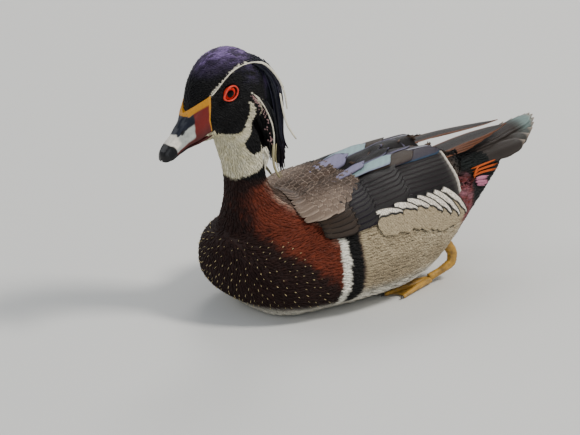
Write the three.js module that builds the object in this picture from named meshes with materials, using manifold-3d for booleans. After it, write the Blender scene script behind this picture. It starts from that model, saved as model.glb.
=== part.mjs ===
// A drake wood duck, life size, afloat pose, resting on its belly with the feet tucked under.
// Millimetres, +Z up. The bird faces -Y and its left side is +X. The origin is on the flat of the belly.
import * as THREE from "three";
import Module from "manifold-3d";
import { mergeVertices } from "three/addons/utils/BufferGeometryUtils.js";

const wasm = await Module();
wasm.setup();

// Driving dimensions of the trunk, in mm.
const breastFront = -101;
const rumpEnd = 156;
const bodyHalfWidth = 62;
const backHeight = 86;
const bellyDip = -1.5; // the keel's reach below the floor before the belly is cut flat
const gap = 0.35; // between nodes that touch
const trunkSegments = 26;

// Where the head sits: the point midway between the eyes, and how it is turned.
const headCentre = new THREE.Vector3(0, -94, 167);
const headPitchDown = 9.5;
const headYaw = 7;
const eyeHalfSpan = 12;
const eyeAhead = 3;
const eyeUp = 5.4;
const lidSpan = 16.3;
const eyeRadius = 6;
const billTipReach = 60;
const billRim = [[10.7, 20.2, -17.4], [10.4, 22.4, -11], [10.8, 21.4, -2], [11.6, 17.8, 7], [6.5, 27, 5.4], [0, 33.8, -0.2]];
const rimRadius = 1.1;
const faceLift = 0.15;
const nailPlace = [0, 55.6, -20.5];
const nailSize = [4.4, 4.4, 1.7];
const nostrilPlace = [5.7, 42, -13.2];
const nostrilSize = [1.6, 2.1, 1];

// The tail's middle feathers, and how far the outer ones fall and stop short.
const tailRoot = new THREE.Vector3(0, 112, 78);
const tailTip = new THREE.Vector3(0, 186, 95.5);
const tailTent = 13;
const tailStep = 24;

const tailHalf = 21;
const tailSag = 1.5;
const tailFeathers = 12;

// Feathers are thin plates; the widest bow down a little at their edges.
const featherThickness = 0.9;
const shaftRise = 0.35;
const vaneBend = 95;
const primaryTilt = 0.3;
const primaryTips = [[8, 158, 94], [10.5, 148, 92.6], [13, 137, 91.2], [15, 126, 90]];

// Crest locks: share across from the middle to the left, and how far below the eyes each ends.
const crestLocks = [[-0.95, 58], [-0.68, 71], [-0.4, 80], [-0.13, 85], [0.13, 87], [0.4, 83], [0.68, 74], [0.95, 62]];

// Plumage heights above the trunk.
const wingLift = 7;
const flankLift = 4;
const scapularLift = 5;

const rad = (degrees) => (degrees * Math.PI) / 180;
const clamp = (v, low, high) => Math.min(high, Math.max(low, v));
const mix = (a, b, t) => a + (b - a) * t;
const smooth = (t) => t * t * (3 - 2 * t);

// A smooth curve through [position, value] pairs that never overshoots them.
function curveThrough(pairs) {
  const xs = pairs.map((p) => p[0]);
  const ys = pairs.map((p) => p[1]);
  const slopes = xs.slice(1).map((x, i) => (ys[i + 1] - ys[i]) / (x - xs[i]));
  const tangents = xs.map((x, i) => {
    if (i === 0) return slopes[0];
    if (i === xs.length - 1) return slopes[i - 1];
    const before = slopes[i - 1];
    const after = slopes[i];
    return before * after <= 0 ? 0 : (2 * before * after) / (before + after);
  });
  return (x) => {
    const at = clamp(x, xs[0], xs[xs.length - 1]);
    let i = 0;
    while (i < xs.length - 2 && at > xs[i + 1]) i += 1;
    const span = xs[i + 1] - xs[i];
    const t = (at - xs[i]) / span;
    const rise = t * t * (3 - 2 * t);
    const lead = t * (1 - t) * (1 - t) * span;
    const trail = t * t * (t - 1) * span;
    return ys[i] * (1 - rise) + ys[i + 1] * rise + tangents[i] * lead + tangents[i + 1] * trail;
  };
}

// Turns a closed geometry into a solid that can be joined and cut.
function solidOf(geometry) {
  const bare = geometry.index ? geometry.toNonIndexed() : geometry.clone();
  bare.deleteAttribute("normal");
  bare.deleteAttribute("uv");
  const merged = mergeVertices(bare, 1e-4);
  const made = new wasm.Manifold(
    new wasm.Mesh({
      numProp: 3,
      vertProperties: new Float32Array(merged.attributes.position.array),
      triVerts: new Uint32Array(merged.index.array),
    }),
  );
  return made;
}

function geometryOf(solid) {
  const mesh = solid.getMesh();
  const count = mesh.vertProperties.length / mesh.numProp;
  const positions = new Float32Array(count * 3);
  for (let i = 0; i < count; i += 1) {
    const from = i * mesh.numProp;
    positions.set(mesh.vertProperties.subarray(from, from + 3), i * 3);
  }
  const geometry = new THREE.BufferGeometry();
  geometry.setAttribute("position", new THREE.BufferAttribute(positions, 3));
  geometry.setIndex(new THREE.BufferAttribute(new Uint32Array(mesh.triVerts), 1));
  geometry.computeVertexNormals();
  return geometry;
}

const joined = (solids) => solids.reduce((all, next) => all.add(next));

// Keeps the one largest closed surface, so no scrap or sealed hollow is left.
function largest(solid) {
  const bodies = solid.decompose().sort((a, b) => b.volume() - a.volume());
  return bodies[0];
}

// Skins a row of rings, each with the same number of points, and closes both ends.
function loft(rings, counterClockwise = true) {
  const points = rings.flat();
  const per = rings[0].length;
  const indices = [];
  const triangle = (a, b, c) => (counterClockwise ? indices.push(a, b, c) : indices.push(a, c, b));
  for (let i = 0; i + 1 < rings.length; i += 1) {
    for (let j = 0; j < per; j += 1) {
      const next = (j + 1) % per;
      const a = i * per + j;
      const b = i * per + next;
      triangle(a, b, b + per);
      triangle(a, b + per, a + per);
    }
  }
  const close = (ring, flip) => {
    const middle = ring.reduce((sum, p) => sum.add(p), new THREE.Vector3()).divideScalar(per);
    const at = points.push(middle) - 1;
    const start = flip ? 0 : (rings.length - 1) * per;
    for (let j = 0; j < per; j += 1) {
      const next = (j + 1) % per;
      if (flip) triangle(at, start + next, start + j);
      else triangle(at, start + j, start + next);
    }
  };
  close(rings[0], true);
  close(rings[rings.length - 1], false);
  const geometry = new THREE.BufferGeometry();
  geometry.setAttribute("position", new THREE.Float32BufferAttribute(points.flatMap((p) => p.toArray()), 3));
  geometry.setIndex(indices);
  const made = solidOf(geometry);
  return made.volume() < 0 || made.isEmpty() ? loft(rings, !counterClockwise) : made;
}

const power = (value, exponent) => Math.sign(value) * Math.abs(value) ** exponent;

// The trunk: half width, top and bottom at each station along the bird.
const trunkWidth = curveThrough([
  [breastFront, 8], [-98, 20], [-90, 34], [-75, 48], [-50, 58], [-15, bodyHalfWidth], [20, 60],
  [50, 54], [75, 46], [95, 37], [110, 30], [125, 24], [140, 18], [150, 13], [rumpEnd, 8],
]);
const trunkTop = curveThrough([
  [breastFront, 49], [-98, 57], [-90, 65], [-75, 70], [-50, 73], [-15, 79], [20, backHeight - 3],
  [50, backHeight], [75, backHeight], [95, 84], [110, 82], [125, 81], [140, 82], [150, 84], [rumpEnd, 85],
]);
const trunkBottom = curveThrough([
  [breastFront, 36], [-98, 27], [-90, 16], [-75, 5], [-58, bellyDip], [-15, bellyDip], [35, bellyDip],
  [55, 2], [75, 11], [95, 24], [110, 35], [125, 47], [140, 59], [150, 68], [rumpEnd, 76],
]);

// A point on the trunk's skin. The angle runs from 0 at the back's ridge, by 90 at the left side, to 180 below.
function trunkPoint(y, angle, lift = 0) {
  const side = Math.sin(rad(angle));
  const rise = Math.cos(rad(angle));
  const top = trunkTop(y);
  const bottom = trunkBottom(y);
  const middle = mix(bottom, top, 0.45);
  const halfHeight = rise > 0 ? top - middle : middle - bottom;
  const roundness = rise > 0 ? 2 / 2.15 : 2 / 2.7;
  const x = (trunkWidth(y) + lift) * power(side, roundness);
  const z = middle + (halfHeight + lift) * power(rise, roundness);
  return new THREE.Vector3(x, y, z);
}

function trunkSolid(lift = 0) {
  const stations = [
    breastFront - lift, -99.5, -96.5, -92, -85, -76, -65, -52, -36, -18, 0, 18, 36, 52, 66, 79, 91, 102, 113,
    124, 134, 143, 150, rumpEnd + lift,
  ];
  const rings = stations.map((y) =>
    Array.from({ length: trunkSegments }, (_, i) => trunkPoint(y, (i * 360) / trunkSegments, lift)),
  );
  return loft(rings);
}

// A ring in the plane across a spine's direction: half sizes sideways and along the bird.
function spineRing(centre, sideways, along, tilt, segments) {
  return Array.from({ length: segments }, (_, i) => {
    const angle = (i / segments) * Math.PI * 2;
    const back = along * Math.sin(angle);
    return new THREE.Vector3(
      centre.x + sideways * Math.cos(angle),
      centre.y + back * Math.cos(rad(tilt)),
      centre.z + back * Math.sin(rad(tilt)),
    );
  });
}

// The neck widens down into the breast and up into the head.
function neckSolid(lift = 0) {
  const rings = [
    [-46, 40, 44, 44, 0], [-50, 54, 41, 42, 6], [-56, 64, 35, 35, 10], [-62, 73, 28.5, 28, 12],
    [-67, 82, 22, 21.5, 12], [-70.5, 91, 17.8, 17.5, 8], [-72.5, 101, 15.8, 15.8, 4],
    [-74.5, 112, 15, 15.5, 0], [-77.5, 124, 15.5, 17, -6], [-82, 137, 16, 19, -12], [-88, 150, 14, 18, -16],
  ].map(([y, z, sideways, along, tilt]) =>
    spineRing(new THREE.Vector3(0, y, z), sideways + lift, along + lift, tilt, 24),
  );
  return loft(rings);
}

// Head frame: x to the bird's left, "ahead" towards the bill, "up" over the crown, from between the eyes.
const headTurn = new THREE.Matrix4()
  .makeTranslation(headCentre)
  .multiply(new THREE.Matrix4().makeRotationZ(rad(headYaw)))
  .multiply(new THREE.Matrix4().makeRotationX(rad(headPitchDown)));
const onHead = (x, ahead, up) => new THREE.Vector3(x, -ahead, up).applyMatrix4(headTurn);

const headTop = curveThrough([[-38, -4], [-35, 11], [-28, 22], [-18, 29.5], [-8, 33], [4, 33.5], [14, 30], [22, 23], [28, 13.5], [31.5, 4]]);
const headBottom = curveThrough([[-38, -16], [-35, -25], [-28, -29], [-18, -31], [0, -30], [10, -27], [17, -24], [24, -17], [31.5, -1]]);
const headWidth = curveThrough([[-38, 5], [-34, 11.5], [-26, 16.5], [-14, 18.8], [-2, 17.8], [8, 15.2], [16, 12.8], [24, 9.6], [31.5, 4]]);

function headSolid(lift = 0) {
  const stations = [-38, -36.5, -33, -28, -21, -13, -5, 3, 10, 16, 21, 25, 28.5, 31.5];
  const segments = 20;
  const rings = stations.map((ahead, row) =>
    Array.from({ length: segments }, (_, i) => {
      const angle = (i / segments) * Math.PI * 2;
      const top = headTop(ahead) + lift;
      const bottom = headBottom(ahead) - lift;
      const middle = mix(bottom, top, 0.42);
      const up = Math.cos(angle) > 0 ? (top - middle) * power(Math.cos(angle), 0.95) : (middle - bottom) * power(Math.cos(angle), 0.85);
      const end = row === 0 ? -lift : row === stations.length - 1 ? lift : 0;
      return onHead((headWidth(ahead) + lift) * power(Math.sin(angle), 0.92), ahead + end, middle + up);
    }),
  );
  return loft(rings);
}

// The bill. The mouth line runs from the gape to the tip; the upper half rises to the forehead.
const mouthLine = curveThrough([[10, -25], [20, -22.5], [35, -22.3], [48, -25], [billTipReach, -27]]);
const culmenLine = curveThrough([[10, 0], [20, 4], [30, 2.5], [36, -3.5], [44, -11], [52, -17], [57, -20.5], [billTipReach, -24.5]]);
const billWidth = curveThrough([[10, 12], [18, 11.2], [26, 9.8], [36, 8.2], [46, 7.6], [54, 7], [58, 5.2], [billTipReach, 2.6]]);

// Half of a section through the upper bill, from the ridge round to the lip: shares of half width and height.
const hornSection = [[0.42, 0.93], [0.72, 0.72], [0.88, 0.45], [0.89, 0.26], [1, 0.14], [0.97, 0], [0.5, 0]];

function hornSolid(grow = 0) {
  const stations = [11, 16, 21, 26, 31, 36, 41, 46, 50, 54, 57, 59, billTipReach + grow];
  const otherHalf = hornSection.map(([across, up]) => [-across, up]).reverse();
  const rings = stations.map((ahead) => {
    const top = culmenLine(ahead) + grow;
    const bottom = mouthLine(ahead) - grow;
    const width = billWidth(ahead) + grow;
    return [[0, 1], ...hornSection, ...otherHalf].map(([across, up]) => onHead(width * across, ahead, mix(bottom, top, up)));
  });
  return loft(rings);
}

// Moves the corners of an outline outwards, so that each side shifts by the same amount.
function spreadOutline(corners, amount) {
  const normal = (from, to) => new THREE.Vector2(to[1] - from[1], from[0] - to[0]).normalize();
  return corners.map((corner, i) => {
    const before = normal(corners.at(i - 1), corner);
    const after = normal(corner, corners[(i + 1) % corners.length]);
    const out = before.clone().add(after);
    out.multiplyScalar(amount / (0.5 * out.lengthSq()));
    return new THREE.Vector2(corner[0] + out.x, corner[1] + out.y);
  });
}

// The bare skin that covers the front of the head: what lies ahead of the rim, seen from the side.
function bareFaceSolid(grow = 0) {
  const rim = billRim.map(([, ahead, up]) => [ahead, up]).reverse();
  const corners = [...rim, [20, -40], [60, -40], [60, -1]];
  const prism = new THREE.ExtrudeGeometry(new THREE.Shape(spreadOutline(corners, grow)), { depth: 60, bevelEnabled: false });
  prism.translate(0, 0, -30);
  const sidewise = new THREE.Matrix4().makeBasis(
    new THREE.Vector3(0, -1, 0),
    new THREE.Vector3(0, 0, 1),
    new THREE.Vector3(-1, 0, 0),
  );
  prism.applyMatrix4(sidewise).applyMatrix4(headTurn);
  return solidOf(prism).intersect(headSolid(faceLift + grow));
}

// The raised rim of that skin: up one side from the gape, over the forehead and down the other side.
function rimSolid(grow = 0) {
  const otherSide = billRim.slice(0, -1).reverse().map(([x, ahead, up]) => [-x, ahead, up]);
  const route = new THREE.CatmullRomCurve3([...billRim, ...otherSide].map((place) => onHead(...place)));
  const steps = 14;
  const { normals, binormals } = route.computeFrenetFrames(steps);
  const rings = normals.map((normal, i) =>
    Array.from({ length: 4 }, (_, k) => {
      const turn = (k / 4) * Math.PI * 2;
      const out = normal.clone().multiplyScalar(Math.cos(turn)).addScaledVector(binormals[i], Math.sin(turn));
      return route.getPointAt(i / steps).addScaledVector(out, rimRadius + grow);
    }),
  );
  return loft(rings);
}

// An egg in the head's frame. Slope tips its front end down.
function egg([x, ahead, up], [across, long, tall], slope) {
  const sphere = new THREE.SphereGeometry(1, 8, 4);
  sphere.scale(across, long, tall);
  sphere.rotateX(rad(slope));
  sphere.translate(x, -ahead, up);
  sphere.applyMatrix4(headTurn);
  return solidOf(sphere);
}

// The upper half with its rim and the nail over its tip.
function upperBillSolid(grow = 0) {
  const nail = egg(nailPlace, nailSize.map((v) => v + grow), 38);
  return joined([hornSolid(grow), bareFaceSolid(grow), rimSolid(grow), nail]);
}

function nostrilSolid(side) {
  const [x, ahead, up] = nostrilPlace;
  return egg([side * x, ahead, up], nostrilSize, 30);
}

function lowerBillSolid(grow = 0) {
  const stations = [11, 18, 26, 34, 42, 50, 55, 57.5 + grow];
  const depth = curveThrough([[11, 5], [26, 4.6], [42, 3.8], [50, 3.2], [58, 1.4]]);
  const rings = stations.map((ahead) => {
    const top = mouthLine(ahead) - gap + grow;
    const bottom = top - depth(ahead) - 2 * grow;
    const width = billWidth(ahead) * 0.9 + grow;
    const section = [[0.5, 1], [1, 0.95], [0.92, 0.45], [0.5, 0.06], [0, 0], [-0.5, 0.06], [-0.92, 0.45], [-1, 0.95], [-0.5, 1]];
    return section.map(([across, up]) => onHead(width * across, ahead, mix(bottom, top, up)));
  });
  return loft(rings);
}

function ball(centre, radius, segments = 12) {
  const sphere = new THREE.SphereGeometry(radius, segments, Math.round(segments * 0.7));
  sphere.translate(centre.x, centre.y, centre.z);
  return solidOf(sphere);
}

// The bare ring of the eyelid, drawn out to a point towards the bill.
function lidSolid(side, grow = 0) {
  const segments = 14;
  const ringPoints = Array.from({ length: segments }, (_, i) => {
    const angle = (i / segments) * Math.PI * 2;
    const stretch = Math.cos(angle) > 0 ? 7.2 : 6.1;
    const pinch = 1 - 0.28 * Math.max(0, Math.cos(angle)) ** 2;
    return [stretch * Math.cos(angle), 5.9 * Math.sin(angle) * pinch - 1.1 * Math.max(0, Math.cos(angle))];
  });
  const thickness = 1.1 + grow;
  const rings = ringPoints.map(([ahead, up]) => {
    const out = new THREE.Vector2(ahead, up).normalize();
    return Array.from({ length: 5 }, (_, k) => {
      const turn = (k / 5) * Math.PI * 2;
      const reach = Math.cos(turn) * thickness;
      return onHead(
        side * (lidSpan + Math.sin(turn) * 1.7 * thickness),
        eyeAhead + ahead + out.x * reach,
        eyeUp + up + out.y * reach,
      );
    });
  });
  return closedTube(rings);
}

// Skins rings that follow one another round a closed path.
function closedTube(rings, flip = false) {
  const per = rings[0].length;
  const indices = [];
  rings.forEach((ring, i) => {
    const following = ((i + 1) % rings.length) * per;
    for (let j = 0; j < per; j += 1) {
      const a = i * per + j;
      const b = i * per + ((j + 1) % per);
      const c = following + ((j + 1) % per);
      const d = following + j;
      if (flip) indices.push(a, c, b, a, d, c);
      else indices.push(a, b, c, a, c, d);
    }
  });
  const geometry = new THREE.BufferGeometry();
  geometry.setAttribute("position", new THREE.Float32BufferAttribute(rings.flat().flatMap((p) => p.toArray()), 3));
  geometry.setIndex(indices);
  const made = solidOf(geometry);
  return made.volume() < 0 ? closedTube(rings, true) : made;
}

// Skins two matching grids of points, one over the other, into a thin solid. Both faces are split alike.
function plateSolid(upper, lower, flip = false) {
  const rows = upper.length;
  const columns = upper[0].length;
  const below = rows * columns;
  const indices = [];
  const triangle = (a, b, c) => (flip ? indices.push(a, c, b) : indices.push(a, b, c));
  for (let i = 0; i + 1 < rows; i += 1) {
    for (let j = 0; j + 1 < columns; j += 1) {
      const a = i * columns + j;
      const c = a + columns + 1;
      triangle(a, a + 1, c);
      triangle(a, c, c - 1);
      triangle(below + a, below + c, below + a + 1);
      triangle(below + a, below + c - 1, below + c);
    }
  }
  const rim = [];
  for (let j = 0; j + 1 < columns; j += 1) rim.push(j);
  for (let i = 0; i + 1 < rows; i += 1) rim.push(i * columns + columns - 1);
  for (let j = columns - 1; j > 0; j -= 1) rim.push((rows - 1) * columns + j);
  for (let i = rows - 1; i > 0; i -= 1) rim.push(i * columns);
  rim.forEach((a, i) => {
    const b = rim[(i + 1) % rim.length];
    triangle(b, a, below + a);
    triangle(b, below + a, below + b);
  });
  const points = [...upper.flat(), ...lower.flat()];
  const geometry = new THREE.BufferGeometry();
  geometry.setAttribute("position", new THREE.Float32BufferAttribute(points.flatMap((p) => p.toArray()), 3));
  geometry.setIndex(indices);
  const made = solidOf(geometry);
  return made.volume() < 0 ? plateSolid(upper, lower, true) : made;
}

// A thick patch lying over the trunk. Its outline is given as low and high angles along the bird.
function patchSolid({ from, to, low, high, height, side, grow = 0, rows = 9, columns = 4, sink = 1.2 }) {
  const grid = (liftAt) =>
    Array.from({ length: rows + 1 }, (_, i) => {
      const y = mix(from - grow, to + grow, i / rows);
      const spread = (grow / (trunkWidth(y) + 40)) * 57.3;
      return Array.from({ length: columns + 1 }, (__, j) => {
        const across = j / columns;
        const angle = mix(low(y) - spread, high(y) + spread, across);
        return trunkPoint(y, side * angle, liftAt(y, across));
      });
    });
  const crowned = (y, across) => Math.max(height(y) * Math.sin(across * Math.PI) ** 0.45, 0.9) + grow;
  return plateSolid(grid(crowned), grid(() => -sink));
}

// Shares of a feather's length and of its width, from the root to the tip.
const vaneShape = [[0, 0.6], [0.4, 1], [0.82, 0.86], [1, 0.28]];

// One feather: a thin plate with a raised shaft, drawn along a path that gives place and normal.
function vaneSolid(pathAt, half, grow = 0, thick = featherThickness, shape = vaneShape) {
  const upper = [];
  const lower = [];
  for (const [t, share] of shape) {
    const { at, normal } = pathAt(t);
    const ahead = pathAt(Math.min(1, t + 0.02)).at.sub(pathAt(Math.max(0, t - 0.02)).at).normalize();
    const across = new THREE.Vector3().crossVectors(ahead, normal).normalize();
    const width = half * share + grow;
    const end = t === 0 ? -grow : t === 1 ? grow : 0;
    const point = (k, level) =>
      at
        .clone()
        .addScaledVector(ahead, end)
        .addScaledVector(across, k * width)
        .addScaledVector(normal, level + (1 - k * k) * shaftRise - (k * k * width * width) / vaneBend);
    upper.push([-1, 0, 1].map((k) => point(k, thick / 2 + grow)));
    lower.push([-1, 0, 1].map((k) => point(k, -thick / 2 - grow)));
  }
  return plateSolid(upper, lower);
}

// A feather that lies on the trunk, from root to tip, both given as [station, angle, lift].
function layOnTrunk(root, tip, side) {
  return (t) => {
    const y = mix(root[0], tip[0], t);
    const angle = side * mix(root[1], tip[1], t);
    const lift = mix(root[2], tip[2], t);
    const at = trunkPoint(y, angle, lift);
    const outward = trunkPoint(y, angle, lift + 4).sub(trunkPoint(y, angle, lift - 4)).normalize();
    return { at, normal: outward };
  };
}

// A row of like feathers: the first and the last are given, those between are spaced evenly.
function featherRow({ count, first, last, half, side, grow, thick }) {
  return Array.from({ length: count }, (_, i) => {
    const share = count === 1 ? 0 : i / (count - 1);
    const between = (end) => first[end].map((v, k) => mix(v, last[end][k], share));
    const width = Array.isArray(half) ? mix(half[0], half[1], share) : half;
    return vaneSolid(layOnTrunk(between("root"), between("tip"), side), width, grow, thick);
  });
}

// The side feathers that cover the flank, with the long ones that curve up over the wing's rear edge.
function flankSolid(side, grow = 0) {
  const reach = { from: -28, to: 108 };
  const low = curveThrough([[-28, 60], [-12, 51], [2, 46], [30, 49], [54, 53], [81, 51], [108, 70]]);
  const high = curveThrough([[-28, 118], [0, 126], [40, 126], [70, 120], [92, 112], [108, 96]]);
  const height = curveThrough([[-28, 1.2], [-8, flankLift], [60, flankLift], [92, 3.4], [108, 1.4]]);
  const edging = featherRow({
    count: 6,
    first: { root: [8, 62, 2], tip: [42, 46, 7.6] },
    last: { root: [74, 76, 1.2], tip: [108, 62, 5.4] },
    half: 5.2,
    side,
    grow,
  });
  return joined([patchSolid({ ...reach, low, high, height, side, grow }), ...edging]);
}

// The folded wing: coverts in two tiers, then the tertials and the white-tipped secondaries.
function wingSolid(side, grow = 0) {
  const reach = { from: -50, to: 90 };
  const low = curveThrough([[-50, 50], [-20, 30], [26, 21], [53, 19], [90, 15]]);
  const high = curveThrough([[-50, 60], [-16, 62], [2, 54], [54, 58], [81, 48], [90, 38]]);
  const height = curveThrough([[-50, 1.5], [-30, 4], [20, wingLift - 1.5], [60, wingLift - 1], [90, 4]]);
  const coverts = featherRow({
    count: 3,
    first: { root: [-34, 36, 2.5], tip: [4, 30, 6.6] },
    last: { root: [-38, 54, 2.5], tip: [-4, 51, 6] },
    half: 10,
    side,
    grow,
  });
  const greaterCoverts = featherRow({
    count: 4,
    first: { root: [-6, 30, 4], tip: [40, 24, 7.6] },
    last: { root: [-8, 54, 4], tip: [34, 52, 6.6] },
    half: 8,
    side,
    grow,
  });
  const tertials = featherRow({
    count: 3,
    first: { root: [28, 20, 6], tip: [86, 6.5, 10] },
    last: { root: [26, 38, 5.4], tip: [88, 27, 9] },
    half: [9.5, 8.5],
    side,
    grow,
  });
  const secondaries = featherRow({
    count: 3,
    first: { root: [40, 30, 4.6], tip: [101, 27, 9.4] },
    last: { root: [36, 52, 4], tip: [97, 44, 6.4] },
    half: 7.5,
    side,
    grow,
  });
  const base = patchSolid({ ...reach, low, high, height, side, grow });
  return joined([base, ...coverts, ...greaterCoverts, ...tertials, ...secondaries]);
}

// All that lies across the bird's middle plane, which parts the two shoulders.
function midline(side, grow) {
  const block = new THREE.BoxGeometry(200, 400, 400);
  block.translate(-side * (100 - gap / 2 + grow), 0, 100);
  return solidOf(block);
}

// Shoulder feathers and mantle, from the neck back over each side of the ridge.
function scapularSolid(side, grow = 0) {
  const reach = { from: -52, to: 62 };
  const low = () => 0.6;
  const high = curveThrough([[-52, 42], [-40, 46], [-20, 34], [26, 21], [62, 8]]);
  const height = curveThrough([[-52, 1.2], [-36, 3], [-10, scapularLift], [30, scapularLift + 1], [62, 3]]);
  const base = patchSolid({ ...reach, low, high, height, side, grow });
  const rear = featherRow({
    count: 3,
    first: { root: [-2, 7, 4], tip: [62, 6, 9.4] },
    last: { root: [-30, 32, 3.5], tip: [26, 24, 9.6] },
    half: 8.5,
    side,
    grow,
  });
  return joined([base, ...rear.map((vane) => vane.subtract(midline(side, grow)))]);
}

// The bundle of flight feathers that lies over the rump, the longest innermost.
function primariesSolid(side, grow = 0) {
  const vanes = primaryTips.map(([x, y, z], i) => {
    const root = new THREE.Vector3(side * (17 + 1.5 * i), 62, 88.5 - 0.5 * i);
    const tip = new THREE.Vector3(side * x, y, z);
    const normal = new THREE.Vector3(side * primaryTilt, -0.1, 1).normalize();
    return vaneSolid((t) => ({ at: root.clone().lerp(tip, t), normal: normal.clone() }), 5.4, grow);
  });
  return joined(vanes);
}

// The tail: paired feathers that step down and stop short towards the sides of the fan.
function tailSolid(grow = 0) {
  const vanes = Array.from({ length: tailFeathers }, (_, i) => {
    const across = (2 * i + 1) / tailFeathers - 1;
    const away = Math.abs(across);
    const fall = tailTent * away ** 1.4;
    const root = new THREE.Vector3(across * 9, tailRoot.y, tailRoot.z - 0.35 * fall);
    const tip = new THREE.Vector3(across * tailHalf, tailTip.y - tailStep * away ** 2, tailTip.z - fall);
    const normal = new THREE.Vector3(0.75 * across, -0.22, 1).normalize();
    const pathAt = (t) => ({
      at: root.clone().lerp(tip, t).add(new THREE.Vector3(0, 0, -tailSag * Math.sin(t * Math.PI))),
      normal: normal.clone(),
    });
    return vaneSolid(pathAt, 6.6, grow, featherThickness, [[0, 0.6], [0.5, 1], [0.88, 0.9], [1, 0.35]]);
  });
  return joined(vanes);
}

// The crest hangs as a mane from the crown and nape, in flat tapered locks over a slim core.
function crestSolid(grow = 0) {
  const rings = [
    [-22, 14, 12, 14, 60], [-30, 4, 13, 14, 35], [-36, -8, 12.5, 13, 15], [-41, -26, 10.5, 11, 4],
    [-43, -44, 8, 8, 0], [-44, -58, 5.5, 5.2, 0], [-45, -70, 3, 2.6, 0],
  ].map(([ahead, up, sideways, thick, tilt]) =>
    Array.from({ length: 10 }, (_, i) => {
      const angle = (i / 10) * Math.PI * 2;
      const back = (thick + grow) * Math.sin(angle);
      return onHead((sideways + grow) * Math.cos(angle), ahead - back * Math.cos(rad(tilt)) * 0.8, up + back * Math.sin(rad(tilt)));
    }),
  );
  const locks = crestLocks.map(([across, drop]) => {
    const route = new THREE.CatmullRomCurve3([
      onHead(across * 12, -25, 24 - 4 * across ** 2),
      onHead(across * 14.5, -42, 2),
      onHead(across * 12.5, -50.5 + 2.5 * across ** 2, -28),
      onHead(across * 8, -50, -54),
      onHead(across * 4, -46.5 - 2 * (1 - Math.abs(across)), -drop),
    ]);
    const out = onHead(across * 1.1, -1.4, 0.35).sub(onHead(0, 0, 0));
    const pathAt = (t) => ({
      at: route.getPoint(t),
      normal: out.clone().addScaledVector(route.getTangent(t), -out.dot(route.getTangent(t))).normalize(),
    });
    return vaneSolid(pathAt, 3.6, grow, 1.4, [[0, 0.7], [0.35, 1], [0.7, 0.85], [1, 0.2]]);
  });
  return joined([loft(rings), ...locks]);
}

// A webbed foot lying flat on its sole: three toes and the web between them.
function footSolid(side, grow = 0) {
  const heel = new THREE.Vector2(side * 36, 66);
  const toes = [[-14, 34], [4, 44], [22, 38]].map(([degrees, reach]) => {
    const turn = rad(degrees) * side;
    return new THREE.Vector2(heel.x + Math.sin(turn) * reach, heel.y - Math.cos(turn) * reach);
  });
  const outline = new THREE.Shape();
  const edge = [
    new THREE.Vector2(heel.x - side * 4, heel.y + 3), toes[0], toes[0].clone().lerp(toes[1], 0.5).lerp(heel, 0.12), toes[1],
    toes[1].clone().lerp(toes[2], 0.5).lerp(heel, 0.12), toes[2], new THREE.Vector2(heel.x + side * 4, heel.y + 3),
  ];
  const middle = heel.clone().lerp(toes[1], 0.5);
  edge.forEach((p, i) => {
    const out = p.clone().sub(middle).normalize().multiplyScalar(grow);
    if (i === 0) outline.moveTo(p.x + out.x, p.y + out.y);
    else outline.lineTo(p.x + out.x, p.y + out.y);
  });
  const plate = new THREE.ExtrudeGeometry(outline, { depth: 2.6 + 2 * grow, bevelEnabled: false });
  plate.translate(0, 0, -grow);
  return solidOf(plate);
}

// The shank, from the foot back and up to where it leaves the belly feathers.
function legSolid(side, grow = 0) {
  const path = [[36, 63, 5.2, 3], [37, 74, 8, 3], [37.5, 84, 12, 3.4], [36, 86, 20, 4], [34, 80, 30, 5]];
  const rings = path.map(([x, y, z, radius], i) => {
    const before = path[Math.max(0, i - 1)];
    const after = path[Math.min(path.length - 1, i + 1)];
    const along = new THREE.Vector3(0, after[1] - before[1], after[2] - before[2]).normalize();
    const up = new THREE.Vector3(1, 0, 0).cross(along);
    return Array.from({ length: 8 }, (_, k) => {
      const angle = (k / 8) * Math.PI * 2;
      return new THREE.Vector3(side * x, y, z)
        .addScaledVector(new THREE.Vector3(1, 0, 0), Math.cos(angle) * (radius + grow))
        .addScaledVector(up, Math.sin(angle) * (radius + grow));
    });
  });
  return loft(rings);
}

// A thin slab across the bird that parts one region of flesh from the next.
function slab(y, z, tilt) {
  const plate = new THREE.BoxGeometry(400, 400, gap);
  plate.rotateX(rad(tilt));
  plate.translate(0, y, z);
  return solidOf(plate);
}

function partedFlesh(taken) {
  const flesh = joined([trunkSolid(), neckSolid(), headSolid()]).subtract(taken);
  const cuts = [slab(-78, 128, 14), slab(-70, 84, 12), slab(-30, 50, 90), slab(96, 60, 90)];
  const floor = solidOf(new THREE.BoxGeometry(600, 600, 100).translate(0, 0, -50));
  const pieces = cuts.reduce((left, cut) => left.subtract(cut), flesh.subtract(floor)).decompose();
  return pieces.filter((piece) => piece.volume() > 200);
}

// Colours of the materials.
const finishes = {
  blackGreen: { color: "#10130f", roughness: 0.4 },
  white: { color: "#d9d2bd", roughness: 0.8 },
  chestnut: { color: "#4a170c", roughness: 0.7 },
  bronze: { color: "#2a211d", roughness: 0.5 },
  buff: { color: "#9c8a68", roughness: 0.8 },
  billRed: { color: "#7c1a12", roughness: 0.35 },
  billDark: { color: "#141416", roughness: 0.4 },
  eyeRed: { color: "#b1170c", roughness: 0.1 },
  lidRed: { color: "#d8351c", roughness: 0.5 },
  orangeSkin: { color: "#b5761c", roughness: 0.6 },
};
const materialFor = Object.fromEntries(
  Object.entries(finishes).map(([name, look]) => [name, new THREE.MeshStandardMaterial({ ...look, metalness: 0 })]),
);

const duck = new THREE.Group();
function node(name, solid, finish) {
  const mesh = new THREE.Mesh(geometryOf(solid), materialFor[finish]);
  mesh.name = name;
  duck.add(mesh);
}

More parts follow.
